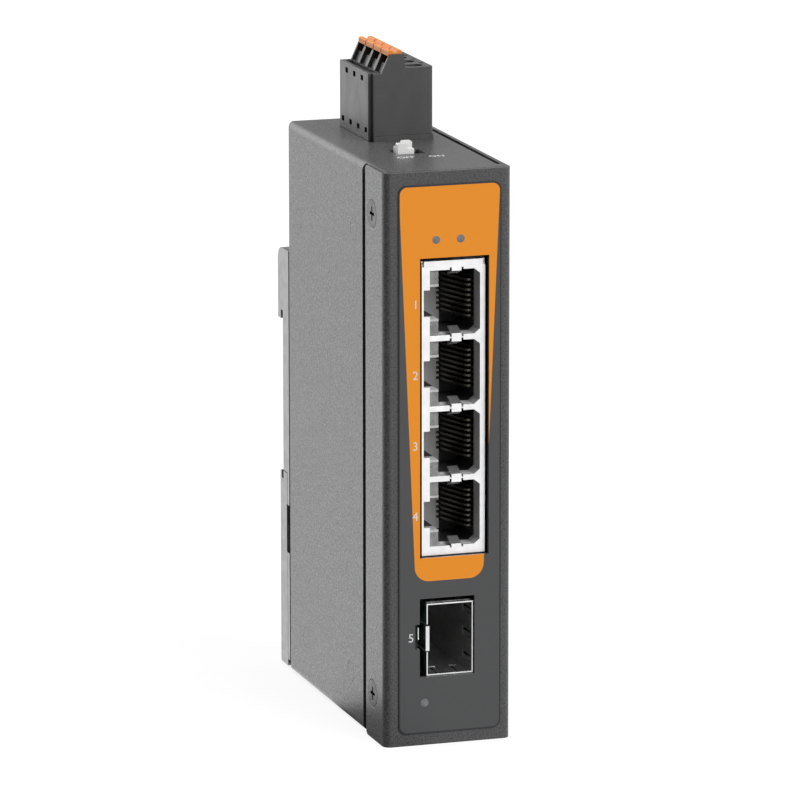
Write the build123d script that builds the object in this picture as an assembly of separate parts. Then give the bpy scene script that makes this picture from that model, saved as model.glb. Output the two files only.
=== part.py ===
from build123d import *
import os

# A narrow rail-mounted network switch in a folded sheet-metal case.
# The front carries four copper ports in a ganged jack and one cage for a plug-in optical module.
# The top carries a pluggable power terminal and a two-way setting selector.
# The back carries a bracket with a fixed hook and a sprung latch for a 35 mm top-hat rail.
#
# All sizes are millimetres. A place is given by three distances: x from the left side, y from the
# front face towards the back, and z from the bottom. The model's origin is the middle of the
# bottom face, with +X to the right, +Y to the back and +Z up.

# Case
body_width = 26.0
body_height = 114.0
body_depth = 64.0
sheet = 0.8
bend_radius = 1.5
lap_gap = 0.1
flange_depth = 11.8
flange_corner = 1.0
seam_width = 1.85
front_gap = 0.4
cover_gap = 0.9
ear_length = 2.9
corner_slit = 0.3
tab_length = 9.0
tab_height = 10.0

# Screws that hold the cover to the case
cover_screw_radius = 1.5
cover_screw_head = 2.75
cover_screw_length = 4.2
cover_screw_inset = 7.6
cover_screw_low = 9.2
cover_screw_drop = 9.0
cover_screw_back = 5.5
screw_gap = 0.05
screw_ring = 0.15
cross_length = 2.8
cross_width = 0.6
cross_depth = 0.7

# Front foil
foil_thickness = 0.2
foil_left = 2.85
foil_right = 23.85
foil_bottom = 2.35
foil_drop = 2.5
foil_corner = 1.7

# Circuit board
board_face = 8.0
board_thickness = 1.6
board_front = 3.0
board_margin = 3.5
standoff_across = 4.6
standoff_clinch = 2.1
standoff_bore = 1.45
front_standoff_low = (21.75, 10.2)
front_standoff_top = 19.3
front_standoff_share = 0.208
rear_standoff_low = (12.2, 9.8)
rear_standoff_top = (8.2, 18.5)
board_screw_radius = 1.4
board_screw_head = 2.5
board_screw_head_height = 1.8
board_screw_length = 5.5

# Ganged jack with four ports, latch side towards the board and contacts away from it
port_pitch = 13.97
port_count = 4
port_1_drop = 8.3
port_size = 12.88
port_left = 9.64
port_right = 19.88
port_corner_x = 1.2
port_corner_z = 0.95
port_depth = 13.0
latch_slot_left = 8.4
latch_slot_size = 5.26
latch_channel_size = 6.4
jack_right = 20.95
jack_height = 58.4
jack_share = 0.348
jack_front = 1.0
jack_depth = 16.0
shield_wall = 0.25
shield_gap = 0.05
shield_notch = (0.45, 1.1)
shield_spring_middle = 15.1
shield_spring_width = 2.0
shield_spring_reach = 2.7
shield_spring_rise = 1.3
shield_nick = (0.4, 0.45)
spring_pocket = (12.6, 16.6)
spring_pocket_depth = 0.3
frame_depth = 3.5
pipe_left = 9.76
pipe_right = 11.45
pipe_size = 2.7
pipe_length = 9.0
pipe_gap = 0.05
contact_pitch = 1.016
contact_count = 8
contact_width = 0.4
contact_thickness = 0.3
contact_front = 4.6
contact_rise = 4.2
contact_tip_gap = 1.1
comb_rib = 0.45
comb_start = 4.9
carrier_left = 8.45
carrier_right = 15.6
carrier_half_width = 5.9
carrier_thickness = 0.5
carrier_notch = 0.6
jack_window_left = 7.25
jack_window_right = 21.35
jack_window_low = 0.2
jack_window_high = 0.85

# Cage for the plug-in module, its spring collar and the connector at its back
cage_floor = 8.75
cage_right = 18.3
cage_bottom = 13.85
cage_top = 28.3
cage_front = 0.3
cage_length = 48.5
cage_wall = 0.25
cage_leg = 1.2
cage_leg_places = (8.0, 24.0, 40.0)
lance_length = 5.05
lance_height = 1.5
lance_start = 0.6
lance_bend = 0.35
lance_shares = (0.3, 0.75)
tab_slot = 0.35
latch_tab_low = 18.9
latch_tab_high = 23.85
latch_tab_length = 9.0
latch_tab_lip = 0.75
module_window_left = 7.2
module_window_right = 18.45
module_window_bottom = 13.75
module_window_top = 29.5
module_notch_left = 6.25
module_notch_low = 19.4
module_notch_high = 24.4
collar_thickness = 0.15
collar_start = 1.4
collar_width = 3.0
collar_bulge = 0.75
collar_finger = 1.4
collar_shares = (0.18, 0.73)
connector_front = 37.0
connector_back = 46.5
connector_top = 13.6
connector_half_width = 5.6
connector_slot = (9.9, 11.5)
connector_slot_depth = 6.5
connector_slot_half_width = 4.7

# Lamps and light pipes
lamp_share = 0.247
lamp_places = (10.54, 15.52)
lamp_radius = 0.8
lamp_hole = 1.2
low_lamp = (8.21, 8.53)
lamp_block_front = 7.5
lamp_block_depth = 5.0
lamp_block_half_width = 1.5
lamp_block_lift = 0.9
chip_lamp = (0.8, 0.8, 1.6)

# Power terminal: header on the board, plug on the header
pole_pitch = 5.0
pole_count = 4
header_left = 8.5
header_right = 21.6
header_front = 35.2
header_drop = 10.0
header_rim = 1.0
header_wall = 1.4
header_right_wall = 1.0
header_end_wall = 0.65
header_floor = 1.5
header_clearance = 0.15
header_foot = (36.2, 38.2)
pin_size = 1.0
pin_x = 15.0
pin_drop = 13.0
pin_hole = 0.75
pin_tip = 3.5
pin_tail = 0.8
plug_gap = 0.1
plug_end_wall = 0.4
plug_seat = 0.05
corner_notch_x = 0.8
corner_notch_y = 1.4
plug_shoulder = 12.5
plug_hump = 16.3
plug_ledge = 13.5
hump_foot = 10.8
hump_left = 12.5
hump_right = 15.5
hump_root = 15.75
trough_left = 9.3
trough_depth = 1.1
rib_width = 1.2
rib_recess = 0.7
rib_sink = 0.08
plug_corner = 0.8
entry_left = 16.3
entry_right = 20.1
entry_width = 2.8
probe_radius = 0.55
probe_x = 20.6
test_hole = (1.6, 1.1)
test_hole_depth = 0.6
test_hole_shift = 0.45
test_hole_low = 0.9
test_hole_high = 11.05
chamber_left = 11.2
chamber_right = 19.4
chamber_half_width = 1.9
chamber_height = 6.0
lever_left = 12.3
lever_right = 15.2
lever_half_width = 2.15
lever_head = 1.1
lever_sink = 0.4
lever_stem_left = 13.35
lever_stem_half_width = 1.7
lever_gap = 0.1
lever_groove = (1.2, 0.45)
lever_travel = 1.5
clamp_wall = 0.5
clamp_bar = 0.8
spring_leaf = 0.3
spring_tip_share = 0.35

# Setting selector
selector_pitch = 2.54
selector_front = 21.3
selector_left = 9.45
selector_tall = 2.05
selector_step = 1.35
selector_half_width = 0.7
selector_travel = 1.87
selector_2_shift = 0.4
selector_gap = 0.1
selector_rise = 2.0
selector_step_rise = 0.92
selector_margin = 1.2
selector_body_right = 16.6
selector_clearance = 0.3
selector_drop = 1.3
selector_slot_depth = 2.6
selector_window_margin = 0.35

# Rail bracket and latch
rail_height = 35.0
rail_top = 74.4
rail_sheet = 1.0
bracket_sheet = 1.2
bracket_inset = 0.2
bracket_seat = 4.0
bracket_hook = 7.3
bracket_top = 87.3
bracket_nose = 1.8
bracket_nose_gap = 0.3
bracket_bend = 2.5
bracket_bottom = 2.0
bracket_slot_low = 24.5
bracket_slot_high = 34.5
bracket_slot_width = 2.8
bracket_screw_places = ((6.5, 50.0), (19.5, 50.0), (13.0, 66.0))
bracket_screw_radius = 1.5
bracket_screw_head = 2.7
bracket_screw_head_height = 1.5
bracket_screw_length = 4.0
latch_bottom = 0.6
latch_reach = 6.1
latch_gap = 0.2
latch_nose = 1.6
latch_corner = 0.6
latch_travel = 2.0
latch_shelf = 36.0
latch_shelf_width = 8.0
latch_slot_size_x = 5.0
latch_slot_size_z = 1.6
latch_slot_height = 4.5
guide_pin_places = ((6.0, 14.0), (20.0, 14.0))
guide_pin_radius = 1.5
guide_pin_head = 2.6
guide_pin_head_height = 0.7
guide_pin_gap = 0.1
spring_tab_height = 21.0
spring_tab_width = 6.0
spring_radius = 1.15
spring_wire = 0.5
spring_turns = 7

# Parts on the board. Each place is a distance from the front face and one below the top, but the
# fuse and the module's driver are placed from the back, and the driver from the bottom.
chip_size = 14.0
chip_height = 1.4
chip_place = (34.5, 48.0)
chip_corner = 1.0
chip_mark = 0.6
chip_mark_depth = 0.3
transformer_size = (7.0, 12.4)
transformer_height = 5.2
transformer_front = 19.0
crystal_size = (5.0, 3.2)
crystal_height = 1.1
crystal_place = (48.0, 48.0)
coil_size = 8.0
coil_height = 4.2
coil_place = (46.0, 26.0)
coil_core = 2.9
can_radius = 4.0
can_height = 10.2
can_bead = 0.3
can_places = ((31.0, 29.5), (31.0, 19.5))
diode_size = (4.4, 3.6)
diode_height = 2.2
diode_places = ((38.4, 19.4), (38.4, 15.5))
fuse_size = (6.1, 2.6)
fuse_height = 2.4
fuse_place = (10.0, 33.5)
driver_size = (5.0, 6.2)
driver_height = 1.6
driver_place = (10.0, 34.0)

# Places that follow from the sizes above
cover_inner = body_width - sheet
shell_right = cover_inner - cover_gap
shell_front = sheet + front_gap
strip_left = sheet + lap_gap
strip_right = strip_left + sheet
panel_front = flange_depth + seam_width
board_back = board_face - board_thickness
board_top = body_height - board_margin
board_rear = body_depth - board_margin
roof = body_height - sheet
cover_screw_high = body_height - cover_screw_drop
cover_screw_rear = body_depth - cover_screw_back
foil_top = body_height - foil_drop
jack_bottom = cage_top + jack_share * (body_height - cage_top - jack_height)
jack_top = jack_bottom + jack_height
jack_window_bottom = jack_bottom - jack_window_low
jack_window_top = jack_top + jack_window_high
port_1_height = jack_top - port_1_drop
lamp_height = jack_top + lamp_share * (body_height - jack_top)
standoff_places = (
    (front_standoff_top, jack_top + front_standoff_share * (body_height - jack_top)),
    front_standoff_low,
    (body_depth - rear_standoff_top[0], body_height - rear_standoff_top[1]),
    (body_depth - rear_standoff_low[0], rear_standoff_low[1]),
)
port_heights = [port_1_height - n * port_pitch for n in range(port_count)]
jack_back = jack_front + jack_depth
port_back = jack_front + port_depth
insulator_front = jack_front + shield_wall + shield_gap
shield_spring_x = (
    shield_spring_middle - shield_spring_width / 2,
    shield_spring_middle + shield_spring_width / 2,
)
insulator_right = jack_right - shield_wall - shield_gap
frame_back = insulator_front + frame_depth
cage_back = cage_front + cage_length
cage_middle = (cage_bottom + cage_top) / 2
header_back = header_front + pole_count * pole_pitch
header_top = body_height + header_rim
header_bottom = body_height - header_drop
pin_height = body_height - pin_drop
header_bottom_inside = header_bottom + header_floor
pole_places = [header_front + (n + 0.5) * pole_pitch for n in range(pole_count)]
plug_base = header_top + plug_seat
shoulder_top = header_top + plug_shoulder
hump_top = header_top + plug_hump
ledge_top = header_top + plug_ledge
plug_left = header_left + header_wall + plug_gap
plug_right = header_right - header_right_wall - plug_gap
plug_front = header_front + header_end_wall + plug_gap
plug_back = header_back - header_end_wall - plug_gap
socket_half_width = pole_places[0] - plug_front - plug_end_wall
plug_bottom = header_bottom_inside + plug_seat
chamber_top = header_top + chamber_height
channel_half_width = lever_half_width + lever_gap
stem_channel_left = lever_stem_left - lever_gap
stem_channel_right = lever_right + lever_gap
selector_places = [selector_front + n * selector_pitch for n in range(2)]
selector_length = selector_tall + selector_step
selector_body_top = body_height - selector_drop
selector_body_bottom = standoff_places[0][1] + board_screw_head + selector_clearance
selector_floor = selector_body_top - selector_slot_depth
selector_right = selector_left + selector_length + selector_travel
bracket_back = body_depth + bracket_sheet
seat_face = body_depth + bracket_seat
hook_face = body_depth + bracket_hook
rail_bottom = rail_top - rail_height
latch_front = bracket_back + latch_gap
latch_face = body_depth + latch_reach
latch_web = latch_face - (seat_face + rail_sheet + lap_gap)
latch_top = rail_bottom + latch_nose
cheek_left = bracket_inset
cheek_right = body_width - bracket_inset
fuse_spot = (body_depth - fuse_place[0], body_height - fuse_place[1])
driver_spot = (body_depth - driver_place[0], driver_place[1])


def place(x, y, z):
    """Turn distances from the left side, front face and bottom into the model's own frame."""
    return (x - body_width / 2, y - body_depth / 2, z)


def block(x, y, z):
    """A cuboid between three pairs of distances from the left side, front face and bottom."""
    middle = place((x[0] + x[1]) / 2, (y[0] + y[1]) / 2, (z[0] + z[1]) / 2)
    return Pos(*middle) * Box(x[1] - x[0], y[1] - y[0], z[1] - z[0])


def plane_x(x):
    """A drawing plane at distance x, with y across and z up, that extrudes towards the right."""
    return Plane(origin=place(x, 0, 0), x_dir=(0, 1, 0), z_dir=(1, 0, 0))


def plane_y(y):
    """A drawing plane at distance y, with x across and z up, that extrudes towards the front."""
    return Plane(origin=place(0, y, 0), x_dir=(1, 0, 0), z_dir=(0, -1, 0))


def plane_z(z):
    """A drawing plane at height z, with x across and y deep, that extrudes upwards."""
    return Plane(origin=place(0, 0, z), x_dir=(1, 0, 0), z_dir=(0, 0, 1))


def outline_x(points, x):
    """A closed outline of (y, z) points, carried from x[0] to x[1]."""
    return extrude(plane_x(x[0]) * make_face(Polyline(*points, close=True)), x[1] - x[0])


def outline_y(points, y):
    """A closed outline of (x, z) points, carried from y[0] to y[1]."""
    return extrude(plane_y(y[1]) * make_face(Polyline(*points, close=True)), y[1] - y[0])


def outline_z(points, z):
    """A closed outline of (x, y) points, carried from z[0] to z[1]."""
    return extrude(plane_z(z[0]) * make_face(Polyline(*points, close=True)), z[1] - z[0])


def rod_x(radius, y, z, x):
    """A round bar along X, centred at (y, z)."""
    return extrude(plane_x(x[0]) * Pos(y, z) * Circle(radius), x[1] - x[0])


def rod_y(radius, x, z, y):
    """A round bar along Y, centred at (x, z)."""
    return extrude(plane_y(y[1]) * Pos(x, z) * Circle(radius), y[1] - y[0])


def rod_z(radius, x, y, z):
    """A round bar along Z, centred at (x, y)."""
    return extrude(plane_z(z[0]) * Pos(x, y) * Circle(radius), z[1] - z[0])


def joined(solids):
    """Several solids as one shape. They stay separate where they don't touch."""
    return Part() + list(solids)


# Case


def folded_tray(left, right, front, back, low, high, radius):
    """A block whose left edges, top, bottom and rear, are rounded as a folded sheet's are."""
    solid = block((left, right), (front, back), (low, high))
    long_edges = solid.edges().filter_by(Axis.Y).group_by(Axis.X)[0]
    upright_edge = solid.edges().filter_by(Axis.Z).group_by(Axis.X)[0].sort_by(Axis.Y)[-1]
    return fillet([*long_edges, upright_edge], radius)


def body_shell():
    """Side panel, top, bottom and back in one folded sheet, with its front strip set inwards."""
    outer = folded_tray(0, shell_right, shell_front, body_depth, 0, body_height, bend_radius)
    inner = folded_tray(
        sheet, shell_right + sheet, shell_front - sheet, body_depth - sheet, sheet, roof,
        bend_radius - sheet,
    )
    shell = outer - inner

    # The strip behind the cover's flange is stepped inwards by one sheet.
    shell -= block((-sheet, strip_left), (-sheet, panel_front), (-sheet, body_height + sheet))
    strip_y = (shell_front, panel_front + sheet)
    shell += block((strip_left, strip_right), strip_y, (sheet / 2, roof + sheet / 2))
    shell += block((sheet / 2, strip_right), (panel_front, panel_front + sheet), (sheet, roof))

    # Slits where the back meets the top and the bottom, which are folded from the side panel.
    slit_x = (bend_radius + sheet, body_width)
    slit_y = (body_depth - sheet, body_depth + sheet)
    shell -= block(slit_x, slit_y, (roof - corner_slit, roof))
    shell -= block(slit_x, slit_y, (sheet, sheet + corner_slit))

    # Ears at the front close the gap beside the cover, and tabs at the back take its screws.
    for low, high in ((0, sheet), (roof, body_height)):
        ear_y = (shell_front, shell_front + ear_length)
        shell += block((shell_right - sheet, cover_inner - lap_gap), ear_y, (low, high))
    tab_right = cover_inner - lap_gap
    for height in (cover_screw_low, cover_screw_high):
        tab_z = (height - tab_height / 2, height + tab_height / 2)
        tab = block((shell_right, tab_right), (body_depth - tab_length, body_depth - sheet / 2), tab_z)
        tab += block((shell_right - sheet, tab_right), (body_depth - sheet, body_depth), tab_z)
        tab -= rod_x(
            cover_screw_radius + screw_gap, cover_screw_rear, height, (shell_right - sheet, body_width),
        )
        shell += tab

    # Holes for the screws, the board's standoffs and the rail bracket.
    screw_hole = cover_screw_radius + screw_gap
    for height in (cover_screw_low, cover_screw_high):
        shell -= rod_x(screw_hole, cover_screw_inset, height, (0, strip_right + sheet))
    for y, z in standoff_places:
        shell -= rod_x(standoff_clinch + screw_gap, y, z, (-sheet, 2 * sheet))
    through_back = (body_depth - 2 * sheet, body_depth + sheet)
    for x, z in bracket_screw_places:
        shell -= rod_y(bracket_screw_radius + screw_gap, x, z, through_back)
    for x, z in guide_pin_places:
        shell -= rod_y(guide_pin_radius + screw_gap, x, z, through_back)

    # Windows in the top for the power terminal and the selector.
    window_z = (roof - sheet, body_height + sheet)
    shell -= block(
        (header_left - header_clearance, header_right + header_clearance),
        (header_front - header_clearance, header_back + header_clearance),
        window_z,
    )
    shell -= block(
        (selector_left - selector_window_margin, selector_right + selector_window_margin),
        (selector_places[0] - selector_margin, selector_places[-1] + selector_margin),
        window_z,
    )
    return shell


def module_window(y):
    """The opening for the module cage, with the notch that clears its latch tab."""
    window_z = (module_window_bottom, module_window_top)
    window = block((module_window_left, module_window_right), y, window_z)
    notch_z = (module_notch_low, module_notch_high)
    return window + block((module_notch_left, module_window_left + sheet), y, notch_z)


def jack_window(y):
    """The opening for the four ports."""
    return block((jack_window_left, jack_window_right), y, (jack_window_bottom, jack_window_top))


def lamp_centres():
    """The places of the three lamps on the front."""
    return [(x, lamp_height) for x in lamp_places] + [low_lamp]


def front_cover():
    """Front plate, short left flange and whole right side in one folded sheet."""
    depth = body_depth - lap_gap
    outer = block((0, body_width), (0, depth), (0, body_height))
    outer = fillet(outer.edges().filter_by(Axis.Z).group_by(Axis.Y)[0], bend_radius)
    inner = block((sheet, cover_inner), (sheet, body_depth + sheet), (-sheet, body_height + sheet))
    inner = fillet(inner.edges().filter_by(Axis.Z).group_by(Axis.Y)[0], bend_radius - sheet)
    cover = outer - inner
    cover -= block((-sheet, 2 * sheet), (flange_depth, body_depth + sheet), (-sheet, body_height + sheet))
    flange_edges = cover.edges().filter_by(Axis.X).filter_by_position(
        Axis.Y, place(0, flange_depth - sheet, 0)[1], place(0, flange_depth + sheet, 0)[1]
    )
    side_edges = cover.edges().filter_by(Axis.X).group_by(Axis.Y)[-1]
    flange_ends = flange_edges.group_by(Axis.Z)
    cover = fillet([*flange_ends[0], *flange_ends[-1], *side_edges], flange_corner)

    through = (-sheet, 2 * sheet)
    cover -= jack_window(through)
    cover -= module_window(through)
    for x, z in lamp_centres():
        cover -= rod_y(lamp_hole, x, z, through)
    for screw in cover_screws(screw_ring).solids():
        cover -= screw
    return cover


def countersunk_screw(grow):
    """A countersunk screw along +X with its head's face at the origin, grown all round."""
    head = Plane.YZ * Cone(
        cover_screw_head + grow, cover_screw_radius + grow, sheet,
        align=(Align.CENTER, Align.CENTER, Align.MIN),
    )
    shank = Plane.YZ * Cylinder(
        cover_screw_radius + grow, cover_screw_length, align=(Align.CENTER, Align.CENTER, Align.MIN),
    )
    screw = head + shank
    if grow == 0:
        for turn in (0, 90):
            screw -= Rot(turn, 0, 0) * Box(2 * cross_depth, cross_length, cross_width)
    return screw


def cover_screws(grow=0.0):
    """Two screws in the left flange and two at the back of the right side."""
    screws = []
    for height in (cover_screw_low, cover_screw_high):
        left_place = Pos(*place(0, cover_screw_inset, height))
        right_place = Pos(*place(body_width, cover_screw_rear, height)) * Rot(0, 0, 180)
        screws.append(left_place * countersunk_screw(grow))
        screws.append(right_place * countersunk_screw(grow))
    return joined(screws)


def front_foil():
    """The printed foil that covers the front, with the same openings."""
    width = foil_right - foil_left
    height = foil_top - foil_bottom
    middle = Pos((foil_left + foil_right) / 2, (foil_bottom + foil_top) / 2)
    foil = extrude(plane_y(0) * middle * RectangleRounded(width, height, foil_corner), foil_thickness)
    through = (-2 * foil_thickness, sheet)
    return foil - jack_window(through) - module_window(through)


# Circuit board


def board():
    """The circuit board, which stands parallel to the left side."""
    plate = block((board_back, board_face), (board_front, board_rear), (board_margin, board_top))
    for y, z in standoff_places:
        plate -= rod_x(board_screw_radius + 2 * screw_gap, y, z, (board_back - sheet, board_face + sheet))
    for y in pole_places:
        plate -= rod_x(pin_hole, y, pin_height, (board_back - sheet, board_face + sheet))
    notch_z = (latch_tab_low - sheet, latch_tab_high + sheet)
    return plate - block((board_back - sheet, board_face + sheet), (0, board_front + sheet), notch_z)


def board_standoffs():
    """Hexagonal standoffs that are clinched into the side panel."""
    standoffs = []
    for y, z in standoff_places:
        post = extrude(
            plane_x(sheet) * Pos(y, z) * RegularPolygon(standoff_across / 2, 6, major_radius=False),
            board_back - sheet,
        )
        post += rod_x(standoff_clinch, y, z, (0, sheet))
        standoffs.append(post - rod_x(standoff_bore, y, z, (2 * sheet, board_back + sheet)))
    return joined(standoffs)


def board_screws():
    """Pan-head screws that hold the board to its standoffs."""
    screws = []
    for y, z in standoff_places:
        head_top = board_face + board_screw_head_height
        head = rod_x(board_screw_head, y, z, (board_face, head_top))
        head = chamfer(head.edges().group_by(Axis.X)[-1], board_screw_head_height / 2)
        shank = rod_x(board_screw_radius, y, z, (board_face - board_screw_length, board_face))
        recess = block(
            (head_top - cross_depth, head_top + sheet),
            (y - cross_length / 2, y + cross_length / 2),
            (z - cross_width / 2, z + cross_width / 2),
        )
        screws.append(head + shank - recess - recess.rotate(Axis(place(0, y, z), (1, 0, 0)), 90))
    return joined(screws)


# Ganged jack


def port_outline(height, left, half_size):
    """The (x, z) outline of a port, with its two corners on the contact side cut off."""
    low = height - half_size
    high = height + half_size
    return (
        (left, low),
        (port_right - port_corner_x, low),
        (port_right, low + port_corner_z),
        (port_right, high - port_corner_z),
        (port_right - port_corner_x, high),
        (left, high),
    )


def shield_spring(height, side):
    """A ground spring bent into the port from the shield's front, on one side of the port."""
    edge = height + side * port_size / 2
    tip = edge - side * shield_spring_rise
    start = jack_front
    end = jack_front + shield_spring_reach
    points = (
        (start, edge + side * shield_wall),
        (start, edge - side * shield_wall),
        (end, tip),
        (end + shield_wall, tip + side * shield_wall),
        (start + shield_wall, edge - side * shield_gap),
        (start + shield_wall, edge + side * shield_wall),
    )
    return outline_x(points, shield_spring_x)


def jack_shield():
    """The tinned shield round the ganged jack, open towards the board, with four windows."""
    outer = block((board_face, jack_right), (jack_front, jack_back), (jack_bottom, jack_top))
    inner = block(
        (board_face - sheet, jack_right - shield_wall),
        (jack_front + shield_wall, jack_back - shield_wall),
        (jack_bottom + shield_wall, jack_top - shield_wall),
    )
    shield = outer - inner
    front = (jack_front - shield_wall, jack_front + 2 * shield_wall)
    for height in port_heights:
        shield -= outline_y(port_outline(height, port_left, port_size / 2), front)
        slot_z = (height - latch_slot_size / 2, height + latch_slot_size / 2)
        shield -= block((latch_slot_left, port_left + sheet), front, slot_z)
        nick, deep = shield_nick
        reach_z = (height - port_size / 2 - deep, height + port_size / 2 + deep)
        for left in (shield_spring_x[0] - nick, shield_spring_x[1]):
            shield -= block((left, left + nick), front, reach_z)
        shield += shield_spring(height, -1) + shield_spring(height, 1)
    across, down = shield_notch
    for left in (board_face, jack_right - across):
        shield -= block((left, left + across), front, (jack_top - down, jack_top))
    return shield


def port_hollows(height, port_y):
    """The hollow of one port, with its latch channel and the pockets of its light pipes."""
    outline = port_outline(height, pipe_right + pipe_gap, port_size / 2)
    hollow = outline_y(outline, port_y)
    channel_z = (height - latch_channel_size / 2, height + latch_channel_size / 2)
    hollow += block((latch_slot_left, pipe_right + sheet), port_y, channel_z)
    pocket_y = (port_y[0], min(port_y[1], insulator_front + pipe_length))
    for side in (-1, 1):
        outside = height + side * port_size / 2
        inside = outside - side * (pipe_size + pipe_gap)
        pocket_z = (min(inside, outside), max(inside, outside))
        hollow += block((pipe_left - pipe_gap, pipe_right + sheet), pocket_y, pocket_z)
    return hollow


def insulator_block(y):
    """A block that fills the jack's shield from one distance behind the front to another."""
    rim = shield_wall + shield_gap
    return block((board_face, insulator_right), y, (jack_bottom + rim, jack_top - rim))


def jack_frame():
    """The grey frame at the jack's front, with pockets that clear the shield's springs."""
    frame = insulator_block((insulator_front, frame_back - shield_gap))
    pocket_y = (insulator_front - sheet, insulator_front + shield_spring_reach)
    for height in port_heights:
        frame -= port_hollows(height, (insulator_front - sheet, frame_back + sheet))
        reach = port_size / 2 + spring_pocket_depth
        frame -= block(spring_pocket, pocket_y, (height - reach, height + reach))
    return frame


def jack_housing():
    """The black insulator behind the frame, with four ports and their contact combs."""
    body = insulator_block((frame_back, jack_back - shield_wall - shield_gap))
    for height in port_heights:
        body -= port_hollows(height, (frame_back - sheet, port_back))
        for n in range(contact_count + 1):
            middle = height + (n - contact_count / 2) * contact_pitch
            rib = outline_z(
                (
                    (port_right + shield_gap, comb_start),
                    (port_right - contact_rise, port_back),
                    (port_right + shield_gap, port_back),
                ),
                (middle - comb_rib / 2, middle + comb_rib / 2),
            )
            body += rib
    return body


def jack_carriers():
    """A grey plate at the back of each port, with a notch for each contact's end."""
    carriers = []
    plate_y = (port_back - carrier_thickness, port_back)
    for height in port_heights:
        channel_z = (height - latch_channel_size / 2, height + latch_channel_size / 2)
        plate = block((carrier_left, pipe_right + sheet), plate_y, channel_z)
        wide_z = (height - carrier_half_width, height + carrier_half_width)
        plate += block((pipe_right + sheet / 2, carrier_right), plate_y, wide_z)
        for n in range(contact_count):
            middle = height + (n - (contact_count - 1) / 2) * contact_pitch
            notch_z = (middle - carrier_notch / 2, middle + carrier_notch / 2)
            plate -= block((carrier_right - carrier_notch, carrier_right + sheet), plate_y, notch_z)
        carriers.append(plate)
    return joined(carriers)


def jack_contacts():
    """Eight spring wires in each port, folded back behind the frame and sloping into the port."""
    wall = port_right - 2 * shield_gap
    front = contact_front
    thick = contact_thickness
    bend = 2 * contact_thickness
    tip_x = port_right - contact_rise
    tip_y = port_back - contact_tip_gap
    points = (
        (wall, port_back),
        (wall, front + bend),
        (wall - bend, front),
        (wall - 2 * bend, front),
        (wall - 3 * bend + thick / 2, front + bend),
        (tip_x, tip_y),
        (tip_x + thick, tip_y),
        (wall - 3 * bend + 1.5 * thick, front + bend + thick / 2),
        (wall - 2 * bend + thick / 2, front + thick),
        (wall - bend - thick / 2, front + thick),
        (wall - thick, front + bend + thick / 2),
        (wall - thick, port_back),
    )
    wires = []
    for height in port_heights:
        for n in range(contact_count):
            middle = height + (n - (contact_count - 1) / 2) * contact_pitch
            wires.append(outline_z(points, (middle - contact_width / 2, middle + contact_width / 2)))
    return Compound(children=wires)


def jack_light_pipes():
    """Two clear light pipes in each port's corners on the latch side."""
    pipes = []
    for height in port_heights:
        for side in (-1, 1):
            outside = height + side * (port_size / 2 - pipe_gap)
            inside = outside - side * (pipe_size - pipe_gap)
            pipes.append(block(
                (pipe_left, pipe_right),
                (insulator_front, insulator_front + pipe_length),
                (min(inside, outside), max(inside, outside)),
            ))
    return joined(pipes)


# Module cage


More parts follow.
